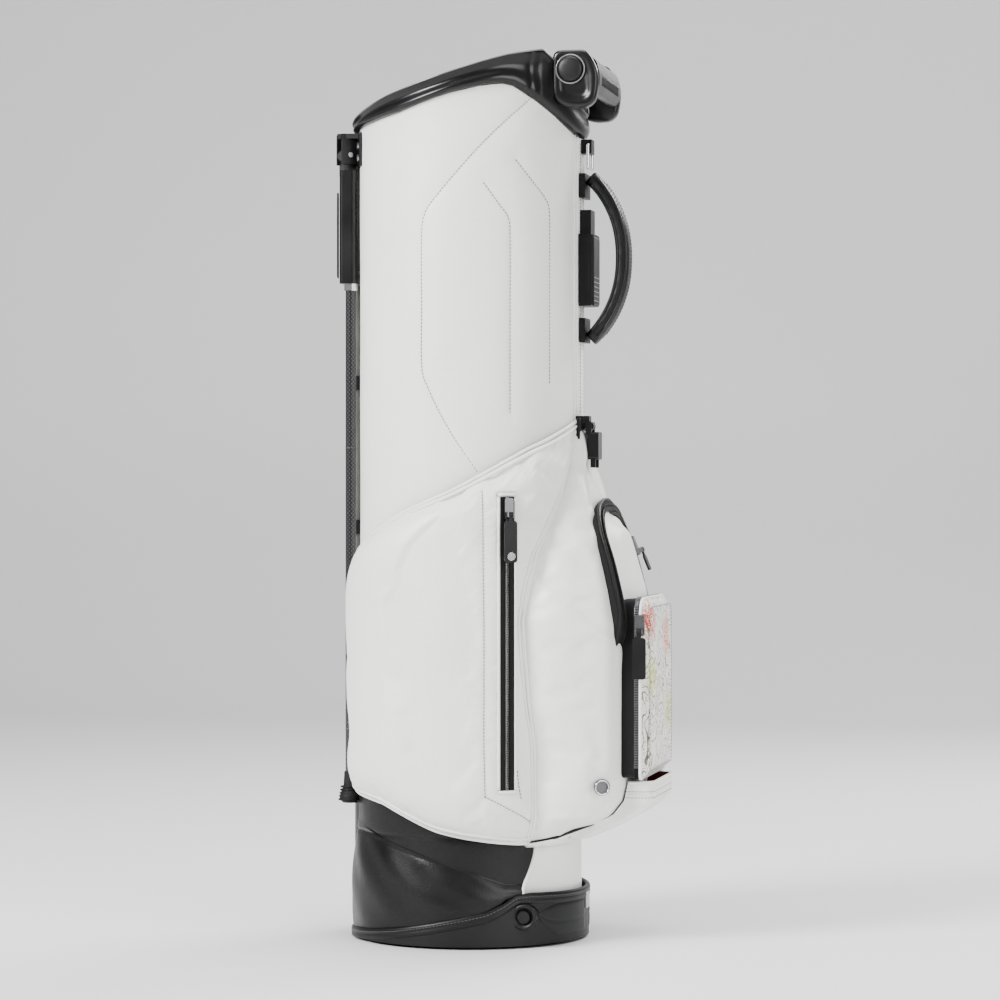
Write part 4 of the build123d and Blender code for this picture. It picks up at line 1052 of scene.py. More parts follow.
def front_pocket():
    """Front pocket's cover with its cloth pass, seam valleys, piping, slot line and lower welts."""
    tall = FRONT_HIGH - FRONT_LOW
    coarse = [mirrored(front_half(FRONT_LOW + tall * i / 59, 26)) for i in range(60)]
    held = np.array([[p.x > FRONT_X - 36 for p in row] for row in coarse])
    held[:2], held[-2:], held[:, :2], held[:, -2:] = True, True, True, True
    moved = settle(coarse, held)
    levels = 150
    rows = []
    for level in range(levels + 1):
        z = FRONT_LOW + tall * level / levels
        section = mirrored(front_half(z))
        for step, p in enumerate(section):
            p += Vector(carried(moved, level / levels, step / (len(section) - 1)))
            s = p.y / 21
            sag = math.sin(p.x / 27 + z / 41) * math.sin(z / 33 - s) + 0.5 * math.sin(z / 15 + p.x / 19)
            inner = Vector((p.x - 40, p.y, 0)).normalized()
            edge = min(1.0, (z - FRONT_LOW) / 30) * min(1.0, (FRONT_HIGH - z) / 30)
            dip = 0.0
            if abs(p.y) > 40 and FOLD_BACK[0] - 4 < p.x < FOLD_FRONT[0] + 6:
                t = (p.x - FOLD_BACK[0]) / (FOLD_FRONT[0] - FOLD_BACK[0])
                gap = z - (FOLD_BACK[1] + (FOLD_FRONT[1] - FOLD_BACK[1]) * t)
                dip = 1.5 * math.exp(-((gap / 4.5) ** 2)) - 1.0 * math.exp(-(((gap + 14) / 12) ** 2))
            aside = min(step, len(section) - 1 - step) * 2.1
            dip += 4.0 * math.exp(-(((aside - 7) / 6.0) ** 2)) * edge
            p += inner * (0.6 * sag * edge - dip)
        rows.append(section)
    under = []
    for share in (1.0, 0.66, 0.33, 0.06):
        row = []
        for p in rows[0]:
            flat = Vector((p.x, p.y, 0))
            wall = flat.normalized() * (TUBE_R + 0.6)
            place = wall.lerp(flat, share)
            row.append(Vector((place.x, place.y, 98.5 - 2 * (1 - share))))
        under.insert(0, row)
    cover = grid_piece("front_pocket_cover", under + rows, WHITE_LEATHER)
    turn_from(cover, (60, 0))
    finish_piece(cover, "bag", "white_leather", "front_pocket")

    piping = []
    path = [front_half(FRONT_LOW + (tall - 5) * i / 90)[0] for i in range(91)]
    for sign in (1, -1):
        line = [Vector((p.x * 1.012, p.y * 1.012 * sign, p.z)) for p in path]
        piping.append(sweep("piping", line, bead(2.0), WHITE_LEATHER))
    for fall in (2.6, 6.4):
        piping.append(sweep("piping", evenly(rising(fall, 0.9), 120), bead(1.9), WHITE_LEATHER))
    finish_piece(joined("front_pocket_piping", piping), "bag", "white_leather", "front_pocket")
    slot = sweep("front_pocket_slot", evenly(rising(-0.6, 0.5), 120), bead(1.5, 8), BLACK_LEATHER)
    finish_piece(slot, "bag", "black_leather")


def rising(fall, out):
    """Line round the pocket's belly that climbs from the seams to the front."""
    half = []
    for i in range(47):
        share = i / 46
        z = 101.5 + 27 * min(1.0, share * 1.25) ** 1.2 - fall * min(1.0, 0.3 + share)
        p = front_half(max(z, 99.0))[i]
        half.append(Vector((p.x, p.y, z)) + Vector((p.x - 60, p.y, 0)).normalized() * out)
    return mirrored(half)


def valuables():
    """Upper pocket: arched black zip band round a padded white panel."""
    low_z = 296
    facing = Vector((0.9, 0, 0.42)).normalized()

    def arch(out, inset):
        """Path and normals of the band's middle line, lifted out and moved inwards."""
        half = [(FRONT_X - back, y, z) for back, y, z in (
            (19, -74 + inset, low_z - 6), (13, -78 + inset, 318 - inset * 0.3),
            (23, -74 + inset, 365 - inset * 0.5), (34, -66 + inset, 398 - inset * 0.8),
            (39.5, -50 + inset * 0.7, 416 - inset), (42, -25, 425 - inset), (41.5, 0, 427 - inset))]
        other = []
        for y, z in ((0, 427 - inset), (22, 425 - inset), (44 - inset * 0.7, 415 - inset),
                     (56 - inset, 385), (57.5 - inset, 350), (61 - inset, 320), (70 - inset, low_z - 6)):
            other.append((FRONT_X + value_at(FRONT_REACH, z) - crowned(y) + 0.4, y, z))
        other[0] = half[-1]
        loop = curve_through(half + other[1:], 120)
        return [p + facing * out for p in loop], [facing + Vector((0, p.y / 140, 0)) for p in loop]

    path, normals = arch(0.5, 0)
    band = [(-6, -7), (6, -7), (6, 3.6), (5.2, 4.8), (2.6, 5.2), (1.5, 4.3), (-1.5, 4.3), (-2.6, 5.2),
            (-5.2, 4.8), (-6, 3.6)]
    gusset = sweep("valuables_band", path, band, ZIP_TAPE, normals)
    finish_piece(gusset, "bag", "zip_tape", "valuables_zip")
    teeth = repeated("valuables_teeth", [evenly(arch(5.3, 0)[0], 160)], FINE_TOOTH, TOOTH_STEP, TEETH)
    finish_piece(teeth, "bag", "zip_tape")
    rims = []
    for inset in (-6.4, 6.4):
        path, normals = arch(2.6, inset)
        rims.append(sweep("rim", path, bead(1.7), BLACK_LEATHER, normals))
    finish_piece(joined("valuables_rims", rims), "bag", "black_leather")
    rows = []
    for ring in range(13):
        share = ring / 12
        puff = 6.0 * math.sqrt(max(0.0, 1 - (1 - min(1.0, share * 1.9)) ** 2))
        row = []
        for edge in arch(1.0, 7.5)[0]:
            middle = Vector((FRONT_X - 22, -6, max(low_z + 1, min(edge.z, 372))))
            p = edge.lerp(middle, share)
            surface = FRONT_X + value_at(FRONT_REACH, p.z) - crowned(p.y) + 0.6
            if surface > edge.x:
                p.x = edge.x + (surface - edge.x) * min(1.0, share * 3)
            else:
                p.x = max(p.x, surface)
            row.append(p + facing * puff)
        rows.append(row)
    panel = grid_piece("valuables_panel_cover", rows, WHITE_LEATHER)
    turn_from(panel, (60, 0))
    finish_piece(panel, "bag", "white_leather", "valuables_panel")


# ------------------------------------------------------------------ ball pocket and holder cup
def rounded_loop(wide, low, high, radius, x, steps=10):
    """Upright rounded rectangle at one X."""
    corners = [(x, -wide, low), (x, wide, low), (x, wide, high), (x, -wide, high)]
    loop = rounded(corners, [5, 5, radius, radius], closed=True, steps=steps)
    return evenly(loop, 200)[:-1]


def ball_pocket():
    """Ball pocket: zipped gusset, padded patterned panel, piping and stitches."""
    low, high, wide, corner = ball_low.z, ball_high.z, 74.0, 20
    mid_z = (low + high) / 2
    back, front = FRONT_X - 16, ball_high.x - 9.6
    rows = [rounded_loop(wide + 1 - inset, low + inset, high + 1 - inset, corner, x) for x, inset in (
        (back, 1.0), (front - 7.5, 1.0), (front - 6, 0.0), (front - 3.8, -0.4), (front - 3.2, 0.9),
        (front - 2.6, -0.4), (front - 0.6, 0.0), (front, 1.5))]
    gusset = grid_piece("ball_zip_gusset", rows, ZIP_TAPE, closed=True)
    total = 0.0
    for face in gusset.data.polygons:
        total += face.normal.dot(Vector((0, face.center.y, face.center.z - mid_z * MM))) * face.area
    if total < 0:
        gusset.data.flip_normals()
    finish_piece(gusset, "bag", "zip_tape", "ball_zip")
    chain = rounded_loop(wide + 1.2, low, high + 1.2, corner, front - 3.2)
    chain = [p for p in chain if p.z > low + 9]
    split = max(range(len(chain)), key=lambda i: (chain[i] - chain[i - 1]).length)
    chain = chain[split:] + chain[:split]
    teeth = repeated("ball_zip_teeth", [chain], BALL_TOOTH, TOOTH_STEP, METAL_TEETH)
    finish_piece(teeth, "bag", "zip_tape")

    rows = []
    outline = rounded_loop(wide, low + 0.5, high, corner, front + 0.2)
    for ring in range(26):
        share = ring / 25
        puff = 9.2 * math.sqrt(max(0.0, 1 - (1 - min(1.0, share * 4.2)) ** 2)) + 0.5 * math.sin(share * 3)
        row = []
        for p in outline:
            y, z = p.y * (1 - share), mid_z + (p.z - mid_z) * (1 - share)
            ripple = 0.35 * math.sin(y / 9 + z / 21) * math.sin(z / 13) * min(1, share * 5)
            row.append(Vector((p.x + min(puff, 9.3) - 0.3 + ripple, y, z)))
        rows.append(row)
    panel = turn_towards(grid_piece("ball_pocket_panel", rows, PATTERNED, closed=True), (1, 0, 0))
    finish_piece(panel, "bag", "white_leather", "ball_pocket")
    loop = rounded_loop(wide + 0.2, low + 0.3, high + 0.2, corner, front + 0.4)
    out = [Vector((0.6, p.y / 75, (p.z - mid_z) / 88)) for p in loop]
    piping = sweep("ball_pocket_piping", loop, bead(1.6), WHITE_LEATHER, out, closed=True)
    finish_piece(piping, "bag", "white_leather", "ball_pocket")
    inner = rounded_loop(wide - 8, low + 8, high - 8, 14, front + 8.75)
    thread = repeated("ball_pocket_stitches", [inner + inner[:1]], STITCH, STITCH_STEP, DARK_THREAD)
    finish_piece(thread, "bag", "white_leather")


def holder_cup():
    """Open cup under the ball pocket: soft white wall, red and black lining."""
    low, high, deep, wide = cup_low.z, cup_high.z, cup_high.x, cup_high.y

    def ring(z, inset):
        """Three-sided line of the cup's wall at one height."""
        slope = max(0.0, (low + 42 - z) / 42)
        back = FRONT_X - 6 + value_at(FRONT_REACH, z)
        reach = max(back + 3, deep - inset - 66 * slope ** 1.7)
        side = wide - inset
        corners = [(back, -side, z), (reach, -side, z), (reach, side, z), (back, side, z)]
        return evenly(rounded(corners, [1, 13, 13, 1], steps=8), 110)

    heights = [low + (high - low) * (i / 18) for i in range(19)]
    outer = [ring(z, 0.0) for z in heights]
    lip = [ring(high + 0.9, 0.6), ring(high + 1.1, 1.4), ring(high + 0.8, 2.2)]
    inner = [ring(z, 2.6) for z in reversed(heights[1:])]
    shell = grid_piece("holder_cup_wall", outer + lip, WHITE_LEATHER)
    turn_from(shell, (150, 0))
    lining = grid_piece("holder_cup_lining", lip[-1:] + inner, RED_LINING)
    turn_from(lining, (150, 0))
    lining.data.flip_normals()
    floor_rows = [[Vector((p.x, p.y * s, low + 1)) for p in outer[0]] for s in (1.0, 0.5, 0.0)]
    base = turn_towards(grid_piece("holder_cup_base", floor_rows, WHITE_LEATHER), (0, 0, -1))
    for piece in (shell, lining, base):
        finish_piece(piece, "bag", "white_leather", "holder_cup")
    welts = [sweep("welt", ring(high - 0.2, -0.4), bead(1.8), WHITE_LEATHER),
             sweep("welt", ring(high - 12, -0.2), bead(0.9, 8), WHITE_LEATHER)]
    finish_piece(joined("holder_cup_welts", welts), "bag", "white_leather", "holder_cup")
    rows = [ring(high - drop, 0.15) for drop in (9, 15)]
    thread = repeated("holder_cup_stitches", rows, STITCH, STITCH_STEP, DARK_THREAD)
    finish_piece(thread, "bag", "white_leather")


# ------------------------------------------------------------------ lower band, skirt and base
RIM = [(-119, 9), (-52, 18), (-15, 24.5), (17, 31), (40, 36), (56, 44), (66, 51.5), (80, 53), (119, 51)]
BLACK_FRONT = 46.0            # angle of the black leather's front edges
SKIRT_R = 116.2               # radius of the skirt where it enters the base
SKIRT_GROOVE, SKIRT_STITCH = 107, 110   # heights of the skirt's seam and of its stitches


def black_angles(count):
    """Angles of the black leather, from its near front edge round the back to its far front edge."""
    full = 180 + 2 * BLACK_FRONT
    return [BLACK_FRONT - full * i / count for i in range(count + 1)]


def curved_front(angle, z):
    """The black leather's front edges draw back towards the base."""
    k = 8 * max(0.0, min(1.0, (100 - z) / 43)) ** 1.6
    if angle > 16:
        return angle - k * (angle - 16) / 30
    if angle < -196:
        return angle + k * (-196 - angle) / 30
    return angle


def lower_band():
    """Black band round the tube's foot, and the white welts on its front edges."""
    rows = []
    for i in range(41):
        share = i / 40
        row = []
        for angle in black_angles(220):
            low = value_at(TUBE_FOOT, outward(angle).x * TUBE_R) + 0.3
            z = low + (166 - low) * share
            groove = 0.7 * math.exp(-((z - SKIRT_GROOVE) / 1.4) ** 2)
            r = TUBE_R + 1.7 + 0.35 * math.sin(angle / 11 + z / 37) - groove
            row.append(place_round(curved_front(angle, z), r, z))
        rows.append(row)
    band = turn_from(grid_piece("lower_band_cover", rows, BLACK_LEATHER))
    finish_piece(band, "bag", "black_leather", "lower_band")
    welts = []
    for sign in (1, -1):
        path = []
        for z in range(50, 104, 2):
            flare = 3.4 * max(0.0, (64 - z) / 14)
            p = place_round(curved_front(BLACK_FRONT, z) + 0.6, TUBE_R + 1.8 + flare, z)
            path.append(Vector((p.x, p.y * sign, p.z)))
        welts.append(sweep("welt", path, bead(1.9), WHITE_LEATHER))
    finish_piece(joined("lower_band_welts", welts), "bag", "white_leather", "lower_band")


def skirt():
    """Soft bellows between the tube's slanted foot and the base."""
    rows = []
    nearest = {}   # for each angle, the skirt's radius and height nearest to its stitches
    count = 76
    for i in range(count + 1):
        share = i / count
        row = []
        for angle in black_angles(240):
            d = outward(angle)
            top = value_at(TUBE_FOOT, d.x * TUBE_R) + 3
            low = value_at(RIM, d.x * 116) - 3.5
            height = top - low
            z = low + height * share
            bulge = min(1.0, height / 55) * 3.6 * math.sin(math.pi * min(1.0, share * 1.05)) ** 0.8
            r = SKIRT_R + (TUBE_R + 2.2 - SKIRT_R) * share ** 1.2 + bulge
            slack = math.sin(share * 9 + angle / 13) * math.sin(angle / 7 + share * 4)
            r += min(1.0, height / 60) * 0.7 * slack
            r -= 1.0 * math.exp(-(((z - SKIRT_GROOVE) / 1.3) ** 2))
            if abs(z - SKIRT_STITCH) < abs(nearest.get(angle, (0, 0))[1] - SKIRT_STITCH):
                nearest[angle] = (r, z)
            row.append(place_round(curved_front(angle, z), r, z))
        rows.append(row)
    cover = turn_from(grid_piece("skirt_cover", rows, SKIRT_LEATHER))
    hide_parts("skirt")
    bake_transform(cover)
    line = []
    for angle in black_angles(240):
        r, z = nearest[angle]
        if abs(z - SKIRT_STITCH) < 1.5 and value_at(TUBE_FOOT, outward(angle).x * TUBE_R) > 108:
            line.append(place_round(angle, r + 0.15, SKIRT_STITCH))
    thread = repeated("skirt_stitches", [line], STITCH, STITCH_STEP, DARK_THREAD)
    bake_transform(thread)


BOSS_X, BOSS_Z = 74, 31   # middle of each pivot boss


def base_trim():
    """Stitched welt along the base's rim, the walls' raised panels and the pivot bosses' rings."""
    def edge(lift, drop, count=260):
        """Loop round the base, out from its wall and down from its rim."""
        line = []
        for i in range(count):
            angle = 360 * i / count
            height = value_at(RIM, outward(angle).x * BASE_R) - drop
            line.append(place_round(angle, BASE_R + lift, height))
        return line

    rows = [edge(lift, drop) for lift, drop in (
        (-3.4, 0.2), (-2.6, -0.5), (-0.4, -0.6), (0.7, 0.2), (1.3, 2.0), (1.2, 4.6), (0.9, 5.2), (1.2, 5.8),
        (1.3, 8.2), (0.6, 9.8), (-0.2, 10.4))]
    rows = [[Vector((p.x, p.y, max(p.z, 1.0))) for p in row] for row in rows]
    welt = turn_from(grid_piece("base_welt", rows, BLACK_LEATHER, closed=True))
    finish_piece(welt, "base", "black_leather")
    path = edge(1.15, 2.9)
    thread = repeated("base_stitches", [evenly(path + path[:1], 300)], STITCH, 3.6, DARK_THREAD)
    finish_piece(thread, "base", "black_leather")
    panels = []
    for sign in (-1, 1):
        rows = []
        for i in range(41):
            angle = 46 + 40 * i / 40
            spread = min(1.0, i / 11) ** 0.7
            low, high = 31 - 22 * spread, 33 + 8.5 * spread
            d = outward(angle)
            row = []
            for j in range(17):
                v = j / 16
                crown = math.sqrt(max(0.0, 1 - abs(2 * v - 1) ** 6))
                lift = 1.1 * crown * min(1.0, (40 - i) / 3 + 0.05)
                r = BASE_R - 0.3 + lift - 0.5 * math.exp(-(((v - 0.45) / 0.03) ** 2))
                row.append((d.x * r, d.y * r * -sign, low + (high - low) * v))
            rows.append(row)
        panels.append(turn_from(grid_piece("relief", rows, BLACK_PLASTIC)))
    finish_piece(joined("base_relief", panels), "base", "black_plastic")
    parts = []
    for sign in (-1, 1):
        rows = [upright_ring(BOSS_X, sign * y, BOSS_Z, r) for r, y in (
            (12.6, 92.0), (12.6, 97.6), (11.8, 98.6), (9.4, 98.8), (8.8, 97.8), (6.6, 97.8), (6.4, 97.0))]
        parts.append(turn_towards(grid_piece("boss", rows, BLACK_PLASTIC, closed=True), (0, sign, 0)))
    finish_piece(joined("pivot_boss_rings", parts), "base", "black_plastic")


# ------------------------------------------------------------------ collar and mouth
def collar():
    """Moulded collar: rolled foot, hollowed neck, a pale bead on the rim as painted highlight, seams beside
    the handle.
    """
    inner = TUBE_R - 6.5
    columns = 288
    rows = [[] for level in range(27)]
    for i in range(columns):
        angle = 360 * i / columns
        x = outward(angle).x * COLLAR_R
        low, high = value_at(COLLAR_UNDER, x), value_at(COLLAR_RIM, x)
        front = max(0.0, min(1.0, (x - 84) / 16))
        seam = math.exp(-(((x - 80) / 1.3) ** 2)) + 0.8 * math.exp(-(((x - 87) / 1.1) ** 2))
        outer = [(-1.5, 0.0), (2.5, -0.02), (5.2, 0.03), (6.6, 0.09), (7.3, 0.17),
                 (7.2 + 0.9 * front, 0.26), (6.2 + 2.2 * front, 0.36), (5.0 + 3.2 * front, 0.46),
                 (4.2 + 3.4 * front, 0.56), (4.2 + 2.6 * front, 0.66), (5.2 + 1.6 * front, 0.76),
                 (6.8, 0.86), (8.1, 0.93), (8.4, 0.955), (7.5, 0.965), (7.6, 0.985), (6.8, 1.0),
                 (4.5, 1.006), (1.0, 1.0), (-3.0, 0.985)]
        mouth = [(inner + 1.0, 0.96), (inner, 0.9), (inner, 0.6), (inner, 0.3), (inner, 0.05),
                 (inner + 0.4, 0.0), (TUBE_R - 1.5, 0.0)]
        profile = [(TUBE_R + out, share) for out, share in outer] + mouth
        for k, (r, share) in enumerate(profile):
            groove = 0.9 * seam if 2 <= k <= 14 else 0.0
            rows[k].append(place_round(angle, r - groove, low + (high - low) * share))
    body = close_normals(grid_piece("top_collar_cover", rows, GLOSS_BLACK, closed=True), merge=True)
    smooth = body.modifiers.new("smooth", "SUBSURF")
    smooth.levels = smooth.render_levels = 1
    apply_modifiers(body)
    finish_piece(body, "bag", "gloss_black", "top_collar")
    # The pale grey bead along the rim is a painted highlight of the gloss edge.
    edge = []
    for i in range(240):
        angle = 360 * i / 240
        height = value_at(COLLAR_RIM, outward(angle).x * COLLAR_R) - 0.6
        edge.append(place_round(angle, TUBE_R + 7.5, height))
    rim = sweep("collar_rim_bead", edge, bead(0.8, 8), RIM_PAINTED_HIGHLIGHT, closed=True)
    finish_piece(rim, "bag", "gloss_black")


def lift_handle():
    """Moulded lift handle: softened cheeks with a pale painted-highlight ring round each cap, and a ribbed
    grip.
    """
    x, wide, z = span("lift_handle")[1]
    outline = [(-45, -48), (-45, 0), (-13, 0), (-7, -6), (0, -20), (0, -36), (-3, -50), (-10, -56),
               (-28, -57)]
    loop = rounded([(x + a, 0, z + b) for a, b in outline], 9, closed=True, steps=5)[:-1]
    middle = Vector((x - 22, 0, z - 27))
    cheeks = []
    for sign in (-1, 1):
        rows = []
        for back, inset in ((14, 3.0), (13, 1.0), (11.5, 0.0), (3, 0.0), (1, 0.8),
                            (0.2, 2.6), (0, 4.6), (0, 9), (0.6, 9.6), (0.6, 15)):
            across = Vector((0, sign * (wide - back), 0))
            rows.append([p + (middle - p).normalized() * inset + across for p in loop])
        cheeks.append(close_normals(grid_piece("cheek", rows, GLOSS_BLACK, closed=True), fill=True))
    grip = [(10.5, -43), (10.5, -12), (13, -6), (18, -10), (21.5, -22), (21.5, -34), (18, -43)]
    ring = rounded([(x - 21 + a, 0, z + b) for a, b in grip], 5, closed=True, steps=4)[:-1]
    rows = [[p + Vector((0, y, 0)) for p in ring] for y in np.linspace(-wide + 8, wide - 8, 24)]
    cheeks.append(close_normals(grid_piece("grip", rows, GLOSS_BLACK, closed=True)))
    finish_piece(joined("lift_handle_cover", cheeks), "bag", "gloss_black", "lift_handle")
    low, high = span("lift_caps")
    cap_x, cap_z = (low.x + high.x) / 2, (low.z + high.z) / 2
    parts, rings = [], []
    for sign in (-1, 1):
        y = sign * (high.y - 5)
        rows = [upright_ring(cap_x, y + sign * h, cap_z, r) for r, h in (
            (12.2, 0.0), (12.4, 2.0), (11.8, 3.4), (10.0, 4.2), (7.0, 4.8), (3.5, 5.0), (0.05, 5.05))]
        parts.append(turn_towards(grid_piece("cap", rows, BLACK_PLASTIC, closed=True), (0, sign, 0)))
        # Pale grey ring round each cap: a painted highlight on the gloss black.
        loop = upright_ring(cap_x, y + sign * 0.3, cap_z, 13.8, 60)
        sideways = [Vector((0, sign, 0))] * len(loop)
        rings.append(sweep("ring", loop, bead(1.0, 8), RIM_PAINTED_HIGHLIGHT, sideways, closed=True))
    finish_piece(joined("lift_caps_domed", parts), "bag", "gloss_black", "lift_caps")
    finish_piece(joined("lift_cap_rings", rings), "bag", "gloss_black")
    ribs = []
    for i in range(15):
        path = [(x + 0.1, -44 + 88 * i / 14, z - drop) for drop in (33, 30, 26, 22)]
        ribs.append(sweep("rib", path, bead(0.9, 8), GLOSS_BLACK, [Vector((1, 0, 0))] * 4))
    finish_piece(joined("lift_grip_ribs", ribs), "bag", "gloss_black")


def bevel(piece, width, segments, material, angle=28):
    """Soft edges and a material on a CAD piece, which stays where it is."""
    piece.data.materials.clear()
    piece.data.materials.append(material)
    edges = piece.modifiers.new("edges", "BEVEL")
    edges.width = width * MM
    edges.segments = segments
    edges.limit_method = "ANGLE"
    edges.angle_limit = math.radians(angle)
    return piece


# ------------------------------------------------------------------ spine: strip, ring, handle, pad
def spine():
    """Narrow front strip with its welts and stitches."""
    low, high = span("spine_panel")
    rows = []
    for i in range(60):
        z = low.z - 8 + (high.z - low.z + 14) * i / 59
        row = []
        for j in range(33):
            y = -13 + 26 * j / 32
            row.append(place_in_front(y, 3.1 * math.sqrt(max(0.0, 1 - abs(y / 13.4) ** 5)), z))
        rows.append(row)
    strip = turn_from(grid_piece("spine_strip", rows, WHITE_LEATHER))
    finish_piece(strip, "bag", "white_leather", "spine_panel")
    welts = []
    for y in (-13.5, 13.5, -21, 21):
        path = [place_in_front(y, 0.8, low.z - 12 + (high.z - low.z + 20) * i / 50) for i in range(51)]
        welts.append(sweep("welt", path, bead(1.7 if abs(y) < 20 else 1.1), WHITE_LEATHER))
    finish_piece(joined("spine_welts", welts), "bag", "white_leather", "spine_panel")
    threads = [[place_in_front(y, 2.9, low.z + (high.z - low.z) * i / 50) for i in range(51)]
               for y in (-9.5, 9.5)]
    thread = repeated("spine_stitches", threads, STITCH, STITCH_STEP, DARK_THREAD)
    finish_piece(thread, "bag", "white_leather")


def carry_handle():
    """Padded loop handle: piped edges, stitches, feet that narrow, and the pad behind it."""
    low, high = span("carry_handle")
    middle, half = (low.z + high.z) / 2, (high.z - low.z) / 2

    def narrowed(z):
        """Share of its full width that the handle has at a height."""
        return 1 - 0.25 * max(0.0, abs((z - middle) / half) - 0.8) / 0.2

    path = []
    for i in range(97):
        t = -1 + 2 * i / 96
        bow = (1 - abs(t) ** 2.25) ** 0.92 if abs(t) < 1 else 0.0
        path.append(Vector((low.x + 3.5 + (high.x - low.x - 11.5) * bow, 0, middle + half * 0.955 * t)))
    normals = []
    for i in range(97):
        a, b = path[max(i - 1, 0)], path[min(i + 1, 96)]
        tangent = (b - a).normalized()
        normals.append(Vector((tangent.z, 0, -tangent.x)))
    wide, thick = (high.y - low.y) / 2, 7.0
    section = []
    for t in turns(28):
        c, s = math.cos(t), math.sin(t)
        across = wide * 0.96 * math.copysign(abs(c) ** 0.62, c)
        section.append((across, thick * math.copysign(abs(s) ** 0.72, s)))
    body = sweep("carry_handle_cover", path, section, BLACK_LEATHER, normals)
    for point in body.data.vertices:
        p = point.co / MM
        ripple = 1 + 0.012 * math.sin(p.z / 2.1) * (1 if p.x < high.x - 12 else 0.2)
        point.co.y *= narrowed(p.z) * ripple
    finish_piece(body, "bag", "black_leather", "carry_handle")
    piping = []
    for sign in (-1, 1):
        for shift in (4.6, -4.6):
            line = [p + n * shift + Vector((0, sign * wide * 0.9 * narrowed(p.z), 0))
                    for p, n in zip(path, normals)]
            piping.append(sweep("piping", line[3:-3], bead(1.5, 8), GLOSS_BLACK, normals[3:-3]))
    finish_piece(joined("carry_handle_piping", piping), "bag", "black_leather", "carry_handle")
    threads = [[p + n * 6.85 + Vector((0, y, 0)) for p, n in zip(path, normals)][6:-6]
               for y in (-8.2, 8.2)]
    thread = repeated("carry_handle_stitches", threads, STITCH, 3.6, DARK_THREAD)
    finish_piece(thread, "bag", "black_leather")
    for name in ("handle_anchors", "spine_pad"):
        bevel(nodes[name], 1.2, 3, BLACK_LEATHER)
    low, high = span("spine_pad")
    bars = []
    for i in range(6):
        path = [Vector((high.x + 0.05, y, low.z + 5 + i * 4.6)) for y in (-13, -6, 0, 6, 13)]
        bars.append(evenly(path, 10))
    thread = repeated("spine_pad_stitches", bars, STITCH, 3.0, PALE_THREAD)
    finish_piece(thread, "bag", "black_leather")
    rim = [(high.x - 1.2, y, low.z + rise) for y, rise in ((-16, 1), (16, 1), (16, 70), (-16, 70))]
    loop = rounded(rim, 4, closed=True)
    piping = sweep("spine_pad_piping", evenly(loop, 80)[:-1], bead(1.1, 8), BLACK_LEATHER,
                   [Vector((1, 0, 0))] * 80, closed=True)
    finish_piece(piping, "bag", "black_leather")


# ------------------------------------------------------------------ stand: bracket, housings, legs, rod
def stand():
    """Folding stand: finishes of its CAD parts, housing ridges, foot treads, leg rings and boot folds."""
    for tag, weave in (("near", CARBON_NEAR), ("far", CARBON_FAR)):
        body = "leg_" + tag
        for part, width, segments, material in (
            ("housing", 1.6, 4, GLOSS_BLACK), ("tube", 0.4, 2, weave), ("ferrule", 0.5, 3, CHROME),
            ("foot", 1.0, 3, BLACK_RUBBER),
        ):
            bevel(nodes["leg_" + part + "_" + tag], width, segments, material)
        low, high = span("leg_housing_" + tag)
        y, foot = (low.y + high.y) / 2, int(low.z)
        ridges = []
        for x, aside, facing, thick, start, end in (
            (3.4, -9.0, (0, -1, 0), 0.8, 6, 92), (3.4, 9.0, (0, 1, 0), 0.8, 6, 92),
            (0.7, 0.0, (-1, 0, 0), 1.0, 8, 96),
        ):
            line = [(low.x + x, y + aside, z) for z in range(foot + start, foot + end, 4)]
            ridges.append(sweep("ridge", line, bead(thick, 8), GLOSS_BLACK, [Vector(facing)] * len(line)))
        finish_piece(joined("leg_housing_ridges_" + tag, ridges), body, "gloss_black")
        low, high = span("leg_foot_" + tag)
        mid, r = (low + high) / 2, (high.y - low.y) / 2
        places = [(mid.x, mid.y, low.z + 3.0 + i * 3.2, r * (1.005 - 0.05 * i)) for i in range(5)]
        treads = hoops("leg_foot_treads_" + tag, places, bead(0.7, 6), BLACK_RUBBER, squash=0.98)
        finish_piece(treads, body, "black_rubber")
        low, high = span("leg_tube_" + tag)
        r = (high.y - low.y) / 2 + 0.15
        places = [((low.x + high.x) / 2, y, low.z + rise, r) for rise in (60, 66, 340)]
        finish_piece(hoops("leg_rings_" + tag, places, bead(0.45, 6), GUNMETAL), body, "carbon")
    for name, width, segments, material in (
        ("leg_bracket", 1.4, 3, BLACK_PLASTIC), ("leg_pins", 0.5, 3, STEEL),
        ("bracket_rivets", 0.6, 3, STEEL), ("push_rod", 0.6, 2, ROD_FIBRE),
        ("rod_guides", 0.8, 3, BLACK_PLASTIC), ("rod_boot", 0.8, 3, BLACK_RUBBER),
    ):
        bevel(nodes[name], width, segments, material)
    low, high = span("rod_boot")
    r = (high.y - low.y) / 2 + 0.2
    places = [((low.x + high.x) / 2, 0, low.z + 2 + i * (high.z - low.z - 4) / 4, r) for i in range(5)]
    finish_piece(hoops("rod_boot_folds", places, bead(1.1, 8), BLACK_RUBBER), "push_rod", "black_rubber")


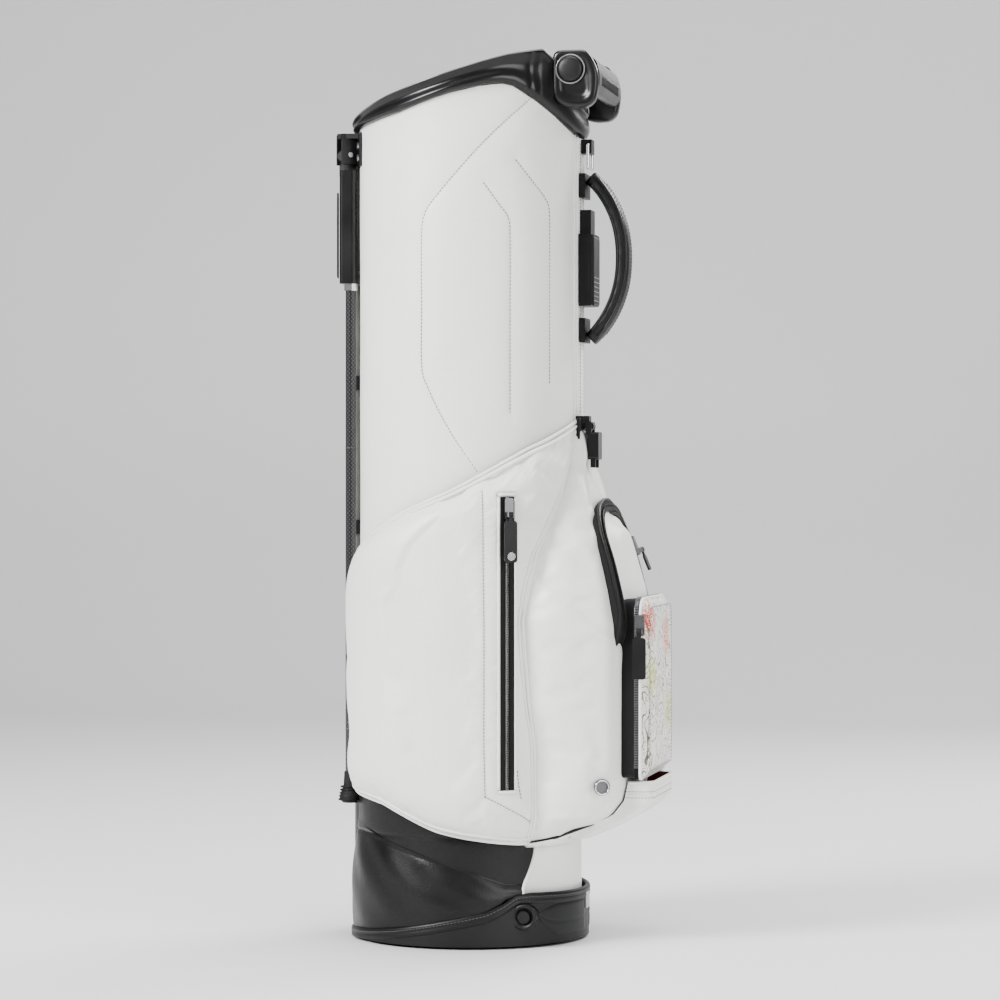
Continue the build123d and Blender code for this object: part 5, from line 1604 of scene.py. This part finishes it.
# ------------------------------------------------------------------ small hardware
def hardware():
    """Finishes and soft edges on the small parts that keep their CAD shape."""
    for width, material, names in (
        (0.8, BLACK_PLASTIC, ("base_cup", "frame_arms")), (1.0, BLACK_PLASTIC, ("pivot_bolts",)),
        (0.6, BLACK_PLASTIC, ("lower_ring",)), (0.5, BLACK_RUBBER, ("base_sole",)),
        (0.4, STEEL, ("base_badge", "stay_rods")), (2.4, LINING, ("divider_top",)),
        (0.5, LINING, ("divider_panels",)), (0.6, GUNMETAL, ("pocket_badges",)),
        (0.6, BLACK_LEATHER, ("ring_tab",)), (0.5, WEBBING, ("clip_tab",)),
        (0.8, GLOSS_BLACK, ("strap_clip",)),
        (0.3, CHROME, ("spine_ring", "side_stud_near", "side_stud_far")),
        (0.5, GUNMETAL, ("side_slider_near", "side_slider_far", "ball_slider", "valuables_slider")),
        (0.8, BLACK_LEATHER, ("side_puller_near", "side_puller_far", "ball_puller", "valuables_puller")),
    ):
        for name in names:
            bevel(nodes[name], width, 3, material)


def strap_patch():
    """Webbing patch sewn on the spine under the buckle."""
    low, high = span("strap_clip")
    y, top = (low.y + high.y) / 2, high.z + 4
    path = [place_in_front(y, 3.6, top - 21 * i / 12) for i in range(13)]
    out = [Vector((1, y / TUBE_R, 0.02))] * 13
    patch = sweep("strap_patch", path, strap(27, 2.4), WEBBING, out)
    edges = []
    for out_by, shift in ((0.9, -13.2), (-2.1, 13.2)):
        line = [Vector(p) + Vector((out_by, shift, 0)) for p in path]
        edges.append(sweep("binding", line, bead(1.3, 8), BLACK_LEATHER, out))
    finish_piece(joined("strap_patch", [patch] + edges), "bag", "zip_tape")


def badge_rings():
    """Raised ring on each round badge, with nothing written on it."""
    low, high = span("pocket_badges")
    parts = []
    for sign in (-1, 1):
        centre = Vector(((low.x + high.x) / 2, sign * (high.y - 2.2), (low.z + high.z) / 2))
        out = Vector((0.46, sign * 0.888, 0))
        side_way = out.cross(Vector((0, 0, 1))).normalized()
        loop = [centre + out * 2.0 + side_way * 6.6 * math.cos(t) + Vector((0, 0, 6.6 * math.sin(t)))
                for t in turns(40)]
        parts.append(sweep("ring", loop, bead(0.7, 8), CHROME, [out] * 40, closed=True))
    finish_piece(joined("pocket_badge_rings", parts), "bag", "chrome")


studio()
tube_cover()
for SIDE, TAG in ((-1, "near"), (1, "far")):
    side_pocket(SIDE, TAG)
    side_zip(SIDE, TAG)
front_pocket()
valuables()
ball_pocket()
holder_cup()
lower_band()
skirt()
base_trim()
collar()
lift_handle()
spine()
carry_handle()
stand()
hardware()
strap_patch()
badge_rings()
